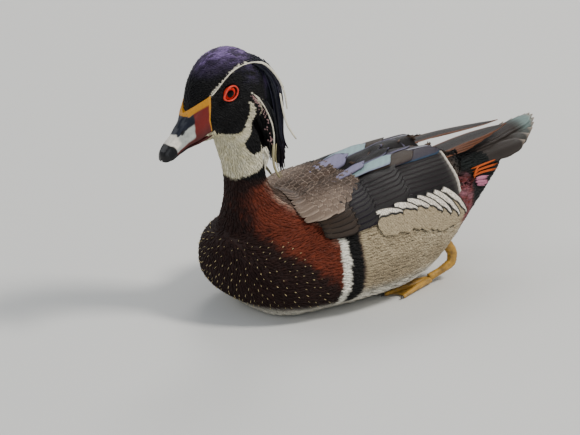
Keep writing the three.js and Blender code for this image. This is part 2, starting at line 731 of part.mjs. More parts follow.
const sides = [["left", 1], ["right", -1]];
const eyeAt = (side) => onHead(side * eyeHalfSpan, eyeAhead, eyeUp);

// What is set into the flesh takes its room out of it.
const setIn = joined([
  ...sides.map(([, side]) => ball(eyeAt(side), eyeRadius + gap, 12)),
  ...sides.map(([, side]) => lidSolid(side, gap)),
  ...sides.map(([, side]) => footSolid(side, gap)),
  ...sides.map(([, side]) => legSolid(side, gap)),
  upperBillSolid(gap),
  lowerBillSolid(gap),
]);
const fleshNames = (piece) => {
  const { min, max } = piece.boundingBox();
  const y = (min[1] + max[1]) / 2;
  const z = (min[2] + max[2]) / 2;
  if (z > 130) return ["head", "blackGreen"];
  if (min[2] > 60 && y < -50) return ["neck", "white"];
  if (y < -40) return ["breast", "chestnut"];
  if (y > 100) return ["rump", "blackGreen"];
  return ["torso", "bronze"];
};
for (const piece of partedFlesh(setIn)) {
  const [name, finish] = fleshNames(piece);
  node(name, piece, finish);
}

const headRoom = joined([headSolid(gap), neckSolid(gap)]);
const bodyRoom = joined([trunkSolid(gap), neckSolid(gap)]);
const nostrils = joined(sides.map(([, side]) => nostrilSolid(side)));
node("bill_upper", largest(upperBillSolid().subtract(nostrils)), "billRed");
node("bill_lower", largest(lowerBillSolid()), "billDark");
for (const [name, side] of sides) {
  node("eye_" + name, ball(eyeAt(side), eyeRadius), "eyeRed");
  node("eyelid_" + name, largest(lidSolid(side).subtract(ball(eyeAt(side), eyeRadius + gap, 12))), "lidRed");
}
node("crest", largest(crestSolid().subtract(headRoom)), "blackGreen");

// Plumage goes on in layers, each cut clear of those under it.
let under = bodyRoom;
const layer = (name, make, finish, side) => {
  const piece = largest(make(side).subtract(under));
  node(name, piece, finish);
  under = under.add(make(side, gap));
};
for (const [name, side] of sides) layer("flank_" + name, flankSolid, "buff", side);
for (const [name, side] of sides) layer("wing_" + name, wingSolid, "bronze", side);
for (const [name, side] of sides) layer("scapulars_" + name, scapularSolid, "bronze", side);
for (const [name, side] of sides) layer("primaries_" + name, primariesSolid, "bronze", side);
node("tail", largest(tailSolid().subtract(under)), "bronze");
for (const [name, side] of sides) {
  node("leg_" + name, largest(legSolid(side).subtract(joined([bodyRoom, footSolid(side, gap)]))), "orangeSkin");
  node("foot_" + name, footSolid(side), "orangeSkin");
}

export default duck;
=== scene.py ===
# A drake wood duck resting on its belly: one skin under a coat of separate feathers, with bill, eyes and feet.
# Shapes are worked out in millimetres and go into the meshes in metres.
import math
import bmesh
import bpy
import numpy as np
from mathutils import Matrix, Vector
from mathutils.bvhtree import BVHTree
from mathutils.kdtree import KDTree


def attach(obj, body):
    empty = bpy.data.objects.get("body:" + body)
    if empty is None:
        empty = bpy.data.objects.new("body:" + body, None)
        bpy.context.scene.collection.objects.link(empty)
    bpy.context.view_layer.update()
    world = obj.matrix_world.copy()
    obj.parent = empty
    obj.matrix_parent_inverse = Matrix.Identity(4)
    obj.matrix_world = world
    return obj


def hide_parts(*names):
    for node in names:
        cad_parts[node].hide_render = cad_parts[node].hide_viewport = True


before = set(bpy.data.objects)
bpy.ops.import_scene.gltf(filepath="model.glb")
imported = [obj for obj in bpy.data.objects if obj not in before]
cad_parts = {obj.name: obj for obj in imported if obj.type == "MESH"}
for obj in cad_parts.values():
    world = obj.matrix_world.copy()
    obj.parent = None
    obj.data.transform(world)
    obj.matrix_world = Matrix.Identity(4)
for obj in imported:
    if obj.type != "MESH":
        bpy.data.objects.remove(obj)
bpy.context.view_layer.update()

mm = 0.001
fullTurn = 2 * math.pi
sides = {"left": 1, "right": -1}
seed = np.random.default_rng(7)


def addObject(name, data):
    made = bpy.data.objects.new(name, data)
    bpy.context.collection.objects.link(made)
    return made


def toMesh(bm, name):
    mesh = bpy.data.meshes.new(name)
    bm.to_mesh(mesh)
    bm.free()
    smoothFaces(mesh)
    return mesh


def smoothFaces(mesh):
    mesh.polygons.foreach_set("use_smooth", np.ones(len(mesh.polygons), bool))


# The camera sees the bird as the photograph does: targetPixel is where the target falls in its frame.
camera = {
    "azimuth": 54, "elevation": 20, "distance": 4.5, "target": (0, 0, 0.09), "pixelsPerMetre": 1400,
    "targetPixel": (327, 170), "photoSize": (580, 435), "sensor": 36, "clipEnd": 50,
}


def setCamera():
    azimuth, elevation = math.radians(camera["azimuth"]), math.radians(camera["elevation"])
    away = Vector((
        math.sin(azimuth) * math.cos(elevation),
        -math.cos(azimuth) * math.cos(elevation),
        math.sin(elevation),
    ))
    right = Vector((math.cos(azimuth), math.sin(azimuth), 0))
    up = away.cross(right)
    wide, high = camera["photoSize"]
    offRight = (camera["targetPixel"][0] - wide / 2) / camera["pixelsPerMetre"]
    offUp = (high / 2 - camera["targetPixel"][1]) / camera["pixelsPerMetre"]
    data = bpy.data.cameras.new("photoView")
    data.sensor_width = camera["sensor"]
    data.lens = camera["pixelsPerMetre"] * camera["distance"] * camera["sensor"] / wide
    data.clip_end = camera["clipEnd"]
    body = addObject("photoView", data)
    body.location = Vector(camera["target"]) - right * offRight - up * offUp + away * camera["distance"]
    body.rotation_euler = away.to_track_quat("Z", "Y").to_euler()
    bpy.context.scene.camera = body


# Lights: place, size, power and tint. The key comes from the upper right and a little behind, as the sun does.
lights = {
    "key": {"place": (1.5, 1.5, 2.6), "size": 0.7, "power": 95, "tint": (1.0, 0.96, 0.9)},
    "fill": {"place": (1.6, -2.2, 1.3), "size": 2.2, "power": 26, "tint": (0.9, 0.95, 1.0)},
    "front": {"place": (-1.8, -1.6, 1.6), "size": 1.6, "power": 16, "tint": (0.95, 0.97, 1.0)},
    "rim": {"place": (-1.6, 1.4, 1.8), "size": 1.0, "power": 26, "tint": (1.0, 0.98, 0.95)},
}
lightAim = Vector((0, 0, 0.08))
backdrop = {
    "floor": 3.0, "floorColour": (0.62, 0.62, 0.60), "floorRough": 0.8, "sky": (0.78, 0.81, 0.85), "skyPower": 0.55,
}


def newPaint(name, constants):
    paint = bpy.data.materials.new(name)
    paint.use_nodes = True
    shader = paint.node_tree.nodes["Principled BSDF"]
    for key, value in constants.items():
        shader.inputs[key].default_value = value
    return paint, shader


def setStage():
    bm = bmesh.new()
    bmesh.ops.create_grid(bm, x_segments=2, y_segments=2, size=backdrop["floor"])
    mesh = toMesh(bm, "floor")
    floor = addObject("floor", mesh)
    plain = {"Base Color": (*backdrop["floorColour"], 1), "Roughness": backdrop["floorRough"]}
    mesh.materials.append(newPaint("paleFloor", plain)[0])
    world = bpy.context.scene.world or bpy.data.worlds.new("studio")
    bpy.context.scene.world = world
    world.use_nodes = True
    sky = world.node_tree.nodes["Background"]
    sky.inputs["Color"].default_value = (*backdrop["sky"], 1)
    sky.inputs["Strength"].default_value = backdrop["skyPower"]
    for name, light in lights.items():
        data = bpy.data.lights.new(name, "AREA")
        data.size, data.energy, data.color = light["size"], light["power"], light["tint"]
        lamp = addObject(name, data)
        lamp.location = light["place"]
        lamp.rotation_euler = (Vector(light["place"]) - lightAim).to_track_quat("Z", "Y").to_euler()


setCamera()
setStage()
print("camera, floor and lights are in")


# Small helpers on arrays of points.
def unit(v):
    return v / np.maximum(np.linalg.norm(v, axis=-1, keepdims=True), 1e-9)


# The direction with its part along the normal taken out.
def levelled(direction, normal):
    return unit(direction - normal * np.sum(direction * normal, axis=-1, keepdims=True))


def ease(low, high, x):
    t = np.clip((x - low) / (high - low), 0, 1)
    return t * t * (3 - 2 * t)


# Rises between the first two numbers and falls between the last two.
def hill(riseFrom, riseTo, fallFrom, fallTo, x):
    return ease(riseFrom, riseTo, x) * (1 - ease(fallFrom, fallTo, x))


def blend(a, b, t):
    t = np.asarray(t)[..., None]
    return a * (1 - t) + b * t


def profile(pairs, x):
    return np.interp(x, *zip(*pairs))


def colour(text):
    value = np.array([int(text[i:i + 2], 16) for i in (0, 2, 4)]) / 255
    return np.where(value <= 0.04045, value / 12.92, ((value + 0.055) / 1.055) ** 2.4)


# The head's own frame: across to the bird's left, ahead to the bill, up over the crown.
headPose = {"centre": (0, -94, 167), "yaw": 7, "pitchDown": 9.5}
yaw, pitch = math.radians(headPose["yaw"]), math.radians(headPose["pitchDown"])
headTurn = np.array((Matrix.Rotation(yaw, 3, "Z") @ Matrix.Rotation(pitch, 3, "X")))
headCentre = np.array(headPose["centre"], float)


def toHead(points):
    return ((np.asarray(points, float) - headCentre) @ headTurn) * (1, -1, 1)


def turnFromHead(directions):
    return (np.asarray(directions, float) * (1, -1, 1)) @ headTurn.T


def fromHead(points):
    return turnFromHead(points) + headCentre


# Even, smooth noise in space, from a few waves with fixed turns.
waveTurns = np.random.default_rng(3).normal(size=(14, 3))
wavePhases = np.random.default_rng(4).uniform(0, 6.28, 14)


def cloud(points, size):
    return sum(np.sin(points @ turn * (2.2 / size) + phase) for turn, phase in zip(waveTurns, wavePhases)) / 4


# The same noise between about 0 and 1.
def mist(points, size):
    return cloud(points, size) * 0.5 + 0.5


def inside(outline, across, up):
    found = np.zeros(len(across), bool)
    for (x0, y0), (x1, y1) in zip(outline, outline[1:] + outline[:1]):
        reach = (x1 - x0) * (up - y0) / (y1 - y0 if y1 != y0 else 1e-9) + x0
        found ^= ((y0 > up) != (y1 > up)) & (across < reach)
    return found


def distanceTo(line, across, up):
    best = np.full(len(across), 1e9)
    for (x0, y0), (x1, y1) in zip(line, line[1:]):
        dx, dy = x1 - x0, y1 - y0
        t = np.clip(((across - x0) * dx + (up - y0) * dy) / (dx * dx + dy * dy), 0, 1)
        best = np.minimum(best, np.hypot(across - x0 - t * dx, up - y0 - t * dy))
    return best


# The drake's colours, as they would be mixed for painting. Some stand for light: a dark brown for the painted shade
# over the breast's front, the throat's shade, a shaded grey for the bill's white flank, and painted sheen and
# highlights for crown, tertials and tail.
tints = {name: colour(value) for name, value in {
    "headBlack": "050507", "cheek": "040406", "crownPurpleSheen": "7b6598", "crownGreen": "0e1c26", "white": "e6e0cc",
    "throatShade": "b9b08a", "speckled": "b08d8c", "breast": "692c19", "breastShadeBrown": "120806", "spot": "cdb98a",
    "barWhite": "ece8da", "barBlack": "0c0b0b", "buff": "aa9b7e", "buffPale": "c6baa0", "buffDark": "80725a",
    "belly": "e0dacb", "bronze": "5e4c41", "bronzePale": "b5a190", "bronzeDark": "33281f", "rump": "060607",
    "rumpGreen": "0d1413", "maroon": "5f211c", "maroonPale": "8f5d68", "wingDark": "0c0809", "wingViolet": "231b29",
    "wingBlueHighlight": "33506a", "wingRim": "332b2f", "tertialPaleSheen": "8aa3a6", "lavenderSheen": "807c98",
    "ridgeHighlight": "b9b8c4", "tail": "271f1a", "tailSkySheen": "7f9793", "tailPale": "8d8073", "orange": "b8521c",
    "copper": "7d4b30", "billRed": "6c1611", "billDeep": "3c0c0a", "billYellow": "bd7f0a", "billWhiteShaded": "a7aaa3",
    "billBlack": "07070a", "billSlate": "15203a", "eyeRed": "b5180c", "lidRed": "e23a20", "foot": "b98a2c",
    "web": "6e5426", "claw": "16120f", "bandWhite": "e8e0d2", "shoulderPale": "bda793", "mauve": "b5748c",
}.items()}

# Marks on the head, as (ahead, up) in the head's frame, the same on both sides.
marks = {
    "browLine": [(17.6, 7.4), (13.7, 10.3), (9.5, 13.6), (5, 16.4), (1, 18.4), (-3.3, 20), (-11.8, 20.8), (-21, 19.4),
                 (-28.5, 17.2), (-34.4, 12.9)],
    "browHalf": [(-36, 0.55), (-20, 0.5), (5, 0.4), (18, 0.5)],
    "rearLine": [(-14.5, -1.6), (-18, -4.6), (-21.3, -9.2), (-26.3, -17.7), (-30.4, -27.8), (-33.2, -37.5),
                 (-34.2, -47), (-34.2, -56)],
    "rearHalf": [(-60, 0.5), (-20, 0.45), (-5, 0.35), (0, 0.25)],
    "throat": [(30, -19), (21, -18.2), (12, -24.2), (4.8, -27.2), (-2, -27.6), (-7, -25), (-10.5, -19.5),
               (-11.6, -13.5), (-10.4, -7), (-13.5, -8.5), (-16.6, -14), (-17.4, -20), (-14.5, -27.5), (-8.7, -32.2),
               (-3.4, -35.5), (-4.5, -42.4), (-9.5, -48), (-17, -49.5), (-23.5, -45), (-26.5, -36), (-25.5, -25),
               (-21, -14.5), (-16, -7), (-21.5, -8.5), (-27.5, -15.5), (-31.5, -26), (-33, -38), (-31, -50),
               (-24, -57.5), (-15.8, -61), (0.9, -63.5), (8, -66), (30, -66)],
    "billEdge": [(34.3, -2.6), (26, 2.8), (17.6, 7.3), (19.4, 0), (21.6, -9), (20.6, -17.8)],
}
# The field that the bare bill covers on the head, as (ahead, up).
billField = marks["billEdge"] + [(24, -24), (40, -34), (70, -34), (70, 6), (44, 2)]

# Edges of the markings on the trunk, and of the painted shade over the breast's front: heights by station, and
# stations by height.
edges = {
    "flankTop": [(-30, 64), (-12, 66), (2, 70), (25, 69), (49, 66), (75, 68), (92, 52), (100, 40)],
    "breastRear": [(0, -28.5), (30, -27.5), (66, -28.5), (76, -44), (86, -56), (96, -60)],
    "breastShadeBrown": [(0, -4), (22, -25), (39, -46), (54, -68), (68, -77), (89, -80), (97, -74), (101, -44)],
}


def underBill(local):
    return inside(billField, local[:, 1], local[:, 2])


def headColours(points, ahead, up, mottle, patch):
    out = blend(tints["headBlack"], tints["cheek"], patch)
    # The crown's gloss: greenish black going to purple, brightest lavender along the top of the head. The purple and
    # green are partly the bird's own gloss and partly painted sheen; the pale top is a painted highlight of light
    # from above.
    sheen = blend(tints["crownGreen"], tints["crownPurpleSheen"] * 0.35, ease(14, 24, up))
    sheen = blend(sheen, tints["crownPurpleSheen"], ease(26, 34, up - 0.2 * ahead + 8 * (mottle - 0.5)))
    crown = ease(15, 30, up + 4 * (patch - 0.5) - 0.12 * ahead)
    out = blend(out, sheen, crown * (0.5 + 0.5 * mottle))
    behindEye = ease(-6, -20, ahead) * hill(0, 12, 18, 21, up)
    out = blend(out, blend(tints["crownGreen"], tints["crownPurpleSheen"], 0.6 * patch), behindEye * 0.6 * mottle)
    nape = ease(-26, -36, ahead) * ease(-30, 0, up)
    out = blend(out, blend(tints["crownGreen"], tints["crownPurpleSheen"] * 0.5, patch), nape * 0.5)
    throat = inside(marks["throat"], ahead, up)
    white = blend(tints["throatShade"], tints["white"], 0.15 + 0.35 * mottle + 0.35 * ease(8, -20, ahead))
    out = np.where(throat[:, None], white, out)
    beside = distanceTo([(a + 3.0, b) for a, b in marks["rearLine"]], ahead, up) < 1.6
    speckle = beside & ~throat & (ahead > -25) & (cloud(points, 1.1) > 0.5)
    out = np.where(speckle[:, None], tints["speckled"], out)
    brow = (distanceTo(marks["browLine"], ahead, up) < profile(marks["browHalf"], ahead)) & (ahead > -20)
    rear = (distanceTo(marks["rearLine"], ahead, up) < profile(marks["rearHalf"], up)) & (ahead > -23)
    return np.where((brow | rear)[:, None], tints["white"], out)


# The plumage's colour at any place on the bird, for the skin and the coat alike. Later layers lie over earlier ones.
def plumage(points):
    points = np.asarray(points, float)
    moved = points + np.stack([cloud(points + shift, 5) for shift in (0, 31, 67)], axis=1) * 0.35
    y, z = moved.T[1:]
    ahead, up = toHead(moved).T[1:]
    mottle, patch = mist(points, 3), mist(points, 16)

    # back and rump
    out = blend(tints["bronzeDark"], tints["bronze"], 0.35 + 0.5 * mottle)
    out = blend(out, blend(tints["rump"], tints["rumpGreen"], patch), ease(88, 104, y + 0.25 * (z - 60)))
    maroonZone = hill(84, 90, 104, 112, y) * hill(38, 46, 68, 74, z)
    out = blend(out, blend(tints["maroon"], tints["maroonPale"], mottle * 0.7), maroonZone)

    # flank, from the black bar to the rump, and belly
    flank = ease(-13, -11, y) * (1 - ease(84, 96, y - 0.3 * (z - 45)))
    flank = flank * (1 - ease(-2, 1, z - profile(edges["flankTop"], y)))
    buff = blend(tints["buffDark"], tints["buff"], 0.35 + 0.65 * ease(20, 50, z))
    buff = blend(buff, tints["buffPale"], patch * 0.55 * ease(20, 70, y))
    out = blend(out, buff, flank)
    below = 1 - ease(12, 24, z - 0.05 * np.abs(y - 10))
    out = blend(out, tints["belly"], below * hill(-72, -52, 88, 108, y))

    # breast and lower neck: chestnut at the side, darkened in front by painted shade, and darkened under the neck's
    # white partly as its own dark and partly as painted shade; pale where it meets the shoulder
    beyond = y - profile(edges["breastRear"], z)
    breast = 1 - ease(-1, 1, beyond)
    shade = 1 - ease(-7, 9, y - profile(edges["breastShadeBrown"], z) + 5 * (mottle - 0.5))
    shade = np.maximum(shade, ease(97, 103, z))
    chestnut = blend(tints["breast"] * 0.75, tints["breast"], mottle)
    chestnut = blend(chestnut, tints["shoulderPale"], ease(-9, 2, beyond) * ease(50, 64, z) * 0.75 * mottle)
    out = blend(out, blend(chestnut, tints["breastShadeBrown"], shade * 0.93), breast)
    out = blend(out, tints["belly"], (1 - ease(4, 14, z)) * ease(-92, -80, y) * breast)
    barHeight = hill(6, 12, 66, 69, z)
    out = blend(out, tints["barWhite"], barHeight * hill(-29.5, -28.3, -23.4, -22.4, y))
    out = blend(out, tints["barBlack"], barHeight * hill(-23.4, -22.4, -14, -12.6, y))

    headward = ease(100, 103, z + 0.12 * (y + 70)) * (1 - ease(-48, -46, y))
    return blend(out, headColours(points, ahead, up, mottle, patch), headward)


# One skin for the whole body. The depths say how far it lies inside the solids, by region.
skinPlan = {
    "nodes": ["head", "neck", "breast", "torso", "rump", "bill_upper", "bill_lower"]
    + [f"{kind}_{side}" for kind in ("wing", "scapulars", "flank", "eye", "eyelid") for side in sides],
    "grow": 0.0003, "voxel": 0.0016, "smoothing": 14, "depthHead": 0.9, "depthBody": 1.9, "depthBill": 2.2,
    "depthSole": 0.5, "eyeReach": 8.2, "eyeDepth": 2.6, "floor": 0.15,
}
eyePlan = {"across": 12.0, "ahead": 3.0, "up": 5.4, "radius": 6.0}


# Adds a CAD node's mesh to bm, with its doubled corners merged, and grown a little to close the thin gaps.
def takeFlesh(bm, node):
    piece = bmesh.new()
    piece.from_mesh(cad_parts[node].data)
    bmesh.ops.remove_doubles(piece, verts=piece.verts, dist=1e-6)
    piece.normal_update()
    for vert in piece.verts:
        vert.co += vert.normal * skinPlan["grow"]
    mesh = toMesh(piece, "flesh")
    bm.from_mesh(mesh)
    bpy.data.meshes.remove(mesh)


# Drops every loose island but the one with the most corners.
def keepLargest(mesh):
    bm = bmesh.new()
    bm.from_mesh(mesh)
    waiting, largest = set(bm.verts), set()
    while waiting:
        stack, island = [waiting.pop()], set()
        while stack:
            vert = stack.pop()
            island.add(vert)
            near = {edge.other_vert(vert) for edge in vert.link_edges} & waiting
            waiting -= near
            stack.extend(near)
        largest = max(largest, island, key=len)
    bmesh.ops.delete(bm, geom=[v for v in bm.verts if v not in largest], context="VERTS")
    bm.to_mesh(mesh)
    bm.free()


def meshArrays(mesh):
    points, normals = np.empty((2, len(mesh.vertices) * 3))
    mesh.vertices.foreach_get("co", points)
    mesh.vertices.foreach_get("normal", normals)
    return points.reshape(-1, 3) / mm, normals.reshape(-1, 3)


def sinkSkin(mesh):
    points, normals = meshArrays(mesh)
    local = toHead(points)
    headward = ease(95, 120, points[:, 2]) * (points[:, 1] < -45)
    depth = skinPlan["depthBody"] * (1 - headward) + skinPlan["depthHead"] * headward
    depth = np.where(underBill(local) & (headward > 0.5), skinPlan["depthBill"], depth)
    reach = np.hypot(local[:, 1] - eyePlan["ahead"], local[:, 2] - eyePlan["up"])
    socket = (1 - ease(0.75, 1.0, reach / skinPlan["eyeReach"])) * (np.abs(local[:, 0]) > 6) * headward
    depth = depth + skinPlan["eyeDepth"] * socket
    # the sole of the belly stays on the floor
    sole = (points[:, 2] < 2.5) & (normals[:, 2] < -0.6)
    moved = points - normals * np.where(sole, skinPlan["depthSole"], depth)[:, None]
    moved[:, 2] = np.maximum(moved[:, 2], skinPlan["floor"])
    mesh.vertices.foreach_set("co", (moved * mm).ravel())
    mesh.update()


def paintVertices(mesh, colours):
    layer = mesh.color_attributes.new("plumage", "FLOAT_COLOR", "POINT")
    layer.data.foreach_set("color", np.column_stack([colours, np.ones(len(colours))]).ravel())


def makeSkin():
    bm = bmesh.new()
    for node in skinPlan["nodes"]:
        takeFlesh(bm, node)
    rough = toMesh(bm, "skin")
    skin = addObject("skin", rough)
    remesh = skin.modifiers.new("remesh", "REMESH")
    remesh.mode = "VOXEL"
    remesh.voxel_size = skinPlan["voxel"]
    smooth = skin.modifiers.new("smooth", "SMOOTH")
    smooth.factor = 0.5
    smooth.iterations = skinPlan["smoothing"]
    mesh = bpy.data.meshes.new_from_object(skin.evaluated_get(bpy.context.evaluated_depsgraph_get()))
    skin.modifiers.clear()
    skin.data = mesh
    bpy.data.meshes.remove(rough)
    keepLargest(mesh)
    sinkSkin(mesh)
    smoothFaces(mesh)
    return skin


skin = makeSkin()
skinPoints = meshArrays(skin.data)[0]
paintVertices(skin.data, plumage(skinPoints))
skinTree = BVHTree.FromPolygons([Vector(p) for p in skinPoints], [tuple(f.vertices) for f in skin.data.polygons])
print("skin is made with", len(skin.data.polygons), "faces")


# Shader maths: wraps a socket, so that sums and products of masks read as such.
class Wire:
    def __init__(self, tree, socket=None):
        self.tree = tree
        self.socket = socket

    def node(self, kind, settings=None, values=None, output=0):
        made = self.tree.nodes.new(kind)
        for key, value in (settings or {}).items():
            setattr(made, key, value)
        for key, value in (values or {}).items():
            if isinstance(value, Wire):
                value.feed(made, key)
            else:
                made.inputs[key].default_value = value
        return Wire(self.tree, made.outputs[output])

    def feed(self, shader, key):
        self.tree.links.new(self.socket, shader.inputs[key])

    def maths(self, operation, first, second):
        return self.node("ShaderNodeMath", {"operation": operation}, {0: first, 1: second})

    def times(self, second, factor=1.0):
        settings = {"data_type": "RGBA", "blend_type": "MULTIPLY"}
        return self.node("ShaderNodeMix", settings, {0: factor, 6: self, 7: second}, 2)

    def __add__(self, other):
        return self.maths("ADD", self, other)

    def __radd__(self, other):
        return self.maths("ADD", other, self)

    def __sub__(self, other):
        return self.maths("SUBTRACT", self, other)

    def __rsub__(self, other):
        return self.maths("SUBTRACT", other, self)

    def __mul__(self, other):
        return self.maths("MULTIPLY", self, other)

    def __rmul__(self, other):
        return self.maths("MULTIPLY", other, self)


# Every finish of the bird ends alike: the painted colour times a tone, and a bump.
def endFinish(start, shader, tone, bump, distance, height):
    painted = start.node("ShaderNodeVertexColor", {"layer_name": "plumage"})
    toned = painted.times(start.node("ShaderNodeCombineColor", None, {0: tone, 1: tone, 2: tone}))
    toned.feed(shader, "Base Color")
    raised = start.node("ShaderNodeBump", None, {"Strength": bump, "Distance": distance, "Height": height})
    raised.feed(shader, "Normal")
    return toned


# Fine wavy bars over a finish, for the flank.
def addBars(start, shader, toned, place, scale):
    settings = {"wave_type": "BANDS", "bands_direction": "DIAGONAL"}
    values = {"Vector": place, "Scale": scale, "Distortion": 9.0, "Detail": 2.0, "Detail Scale": 1.6}
    dark = start.node("ShaderNodeValToRGB", None, {0: start.node("ShaderNodeTexWave", settings, values, 1)})
    stops = ((0.32, (0.42, 0.38, 0.33)), (0.52, (1, 1, 1)))
    for element, (stop, tint) in zip(dark.socket.node.color_ramp.elements, stops):
        element.position = stop
        element.color = (*tint, 1)
    toned.times(dark, 0.75).feed(shader, "Base Color")


# Plumage finish: streaked along the barbs, which run out from the shaft and a little to the tip.
def featherFinish(name, rough, streak=0.35, barbs=40, bump=0.35, shine=0.35, bars=None):
    paint, shader = newPaint(name, {"Roughness": rough, "Specular IOR Level": shine})
    start = Wire(paint.node_tree)
    across = start.node("ShaderNodeSeparateXYZ", None, {0: start.node("ShaderNodeUVMap", {"uv_map": "featherUV"})})
    along = Wire(start.tree, across.socket.node.outputs[1])
    barb = start.maths("SINE", (start.maths("ABSOLUTE", across, 0.0) * -0.55 + along) * barbs, 0.0) * 0.5 + 0.5
    place = start.node("ShaderNodeTexCoord", None, None, 3)
    specks = start.node("ShaderNodeTexNoise", None, {"Vector": place, "Scale": 900, "Detail": 4, "Roughness": 0.6})
    tone = specks * (2 * streak) + barb * (streak * 0.5) + (1 - 1.25 * streak)
    toned = endFinish(start, shader, tone, bump, 0.0004, barb * 0.6 + specks)
    if bars:
        addBars(start, shader, toned, place, bars)
    return paint


# Smooth paint for horn and bare skin: a thin gloss over a faint grain.
def hornFinish(name, rough, coat, bump=0.15, scale=700, shine=0.5):
    paint, shader = newPaint(name, {"Coat Weight": coat, "Coat Roughness": 0.12, "Specular IOR Level": shine})
    start = Wire(paint.node_tree)
    place = start.node("ShaderNodeTexCoord", None, None, 3)
    grain = start.node("ShaderNodeTexNoise", None, {"Vector": place, "Scale": scale, "Detail": 5})
    (grain * 0.25 + (rough - 0.12)).feed(shader, "Roughness")
    endFinish(start, shader, grain * 0.4 + 0.8, bump, 0.0003, grain)
    return paint


finishes = {
    "skin": featherFinish("skinDown", 0.8, barbs=0, bump=0.5),
    "head": featherFinish("headFeathers", 0.45, 0.3, 30, 0.4, 0.22),
    "soft": featherFinish("softFeathers", 0.72, shine=0.2),
    "flank": featherFinish("flankFeathers", 0.7, 0.3, bars=330),
    "wing": featherFinish("wingFeathers", 0.46, 0.22, 240, 0.25, 0.16),
    "tail": featherFinish("tailFeathers", 0.52, 0.3, 300, 0.3, 0.25),
    "bill": hornFinish("billHorn", 0.36, 0.08, shine=0.3),
    "eye": hornFinish("eyeWet", 0.13, 0.0, 0.0, shine=0.1),
    "lid": hornFinish("lidSkin", 0.42, 0.2, 0.5, 1400),
    "foot": hornFinish("footSkin", 0.5, 0.15, 0.8, 900),
    "claw": hornFinish("clawHorn", 0.35, 0.3),
}
skin.data.materials.append(finishes["skin"])


# Every other piece rides the body, and stands for the CAD nodes named with it.
def addPiece(name, mesh, finish, nodes=()):
    mesh.materials.append(finishes[finish])
    piece = addObject(name, mesh)
    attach(piece, "root")
    if nodes:
        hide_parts(*nodes)
    return piece


def nearestOnSkin(points):
    found = np.array([(*place, *normal) for place, normal, _, _ in map(skinTree.find_nearest, map(Vector, points))])
    return found[:, :3], found[:, 3:]


# Places on an unwrap of the bird: round and along the trunk, and round and up the neck and head.
def unwrapped(turn, along):
    return np.stack([0.02 + 0.95 * (turn / fullTurn + 0.5), 0.02 + 0.95 * along], axis=1)


def unwrapTrunk(points):
    return unwrapped(np.arctan2(points[:, 0], points[:, 2] - 44), (points[:, 1] + 108) / 300)


def unwrapHead(points):
    local = toHead(points)
    return unwrapped(np.arctan2(local[:, 0], local[:, 1] + 6), (local[:, 2] + 95) / 135)


# Quads between closed rings of points, for one feather.
def ringQuads(steps, per):
    return [(k * per + j, (k + 1) * per + j, (k + 1) * per + (j + 1) % per, k * per + (j + 1) % per)
            for k in range(steps - 1) for j in range(per)]


# One mesh of many feathers alike. verts, colours and own (the feather's own UV) are by feather, row and column,
# faces are those of the first feather, and centres are the feathers' places on the unwrap.
def featherMesh(name, verts, colours, own, faces, centres, patch):
    count, size = len(verts), verts[0].size // 3
    verts, colours, own = (part.reshape(-1, part.shape[-1]) for part in (verts, colours, own))
    # nothing goes below the floor that the bird rests on
    verts = np.column_stack([verts[:, :2], np.maximum(verts[:, 2], 0.05)])
    first = (np.arange(count) * size)[:, None, None]
    faces = [(np.array(part)[None] + first).reshape(-1, len(part[0])) for part in faces]
    sizes = np.concatenate([np.full(len(part), part.shape[1]) for part in faces])
    mesh = bpy.data.meshes.new(name)
    mesh.vertices.add(len(verts))
    mesh.vertices.foreach_set("co", (verts * mm).ravel())
    mesh.loops.add(int(sizes.sum()))
    mesh.loops.foreach_set("vertex_index", np.concatenate([part.ravel() for part in faces]).astype(np.int32))
    mesh.polygons.add(len(sizes))
    mesh.polygons.foreach_set("loop_start", np.concatenate([[0], np.cumsum(sizes)[:-1]]).astype(np.int32))
    mesh.update(calc_edges=True)
    mesh.validate()
    smoothFaces(mesh)
    paintVertices(mesh, colours)
    corners = np.empty(len(mesh.loops), np.int32)
    mesh.loops.foreach_get("vertex_index", corners)
    bake = np.repeat(centres, size, axis=0) + (own * (0.5, 1) - (0, 0.5)) * patch
    for uvName, table in (("OFBake", bake), ("featherUV", own)):
        mesh.uv_layers.new(name=uvName).data.foreach_set("uv", table[corners].ravel())
    return mesh


# Feathers of the coat are thin closed prisms: shares of length and width at each ring, and how a feather sinks at
# its root, rises over its shaft and strays in tone and place of colour.
vane = {
    "along": (0, 0.38, 0.74, 1.0), "wide": (0.55, 1.0, 0.85, 0.18), "sink": 0.5, "crown": 0.14, "tone": 0.09,
    "stray": 0.3, "patch": 0.003,
}


# Lays many small feathers on the skin. Each ring takes the colour of the place it lies over.
def layCoat(roots, plan, tint=None):
    count, steps = len(roots), len(vane["along"])
    size = 1 + 0.14 * seed.normal(size=count).clip(-2, 2)
    rise = plan["rise"] * (0.75 + 0.5 * seed.random(count))
    lie = plan["lie"](roots)
    base, normal = nearestOnSkin(roots)
    flow = levelled(lie, normal)
    shift = seed.normal(size=(count, 3)) * vane["stray"]
    shade = (1 + vane["tone"] * seed.normal(size=(count, 1))).clip(0.7, 1.3)
    verts, colours = np.empty((2, count, steps, 3, 3))
    for k, (share, wide) in enumerate(zip(vane["along"], vane["wide"])):
        place, out = nearestOnSkin(base + flow * (plan["length"] * size * share)[:, None])
        half = (plan["half"] * size * wide)[:, None]
        side = np.cross(out, levelled(flow, out)) * half
        middle = place + out * (-vane["sink"] * (1 - share) + rise * share ** 0.8)[:, None]
        verts[:, k] = np.stack([middle - side, middle + out * vane["crown"] * (1 + half), middle + side], axis=1)
        hue = plumage(place + shift) if tint is None else tint
        colours[:, k] = (hue * shade)[:, None]
    return verts, colours, base


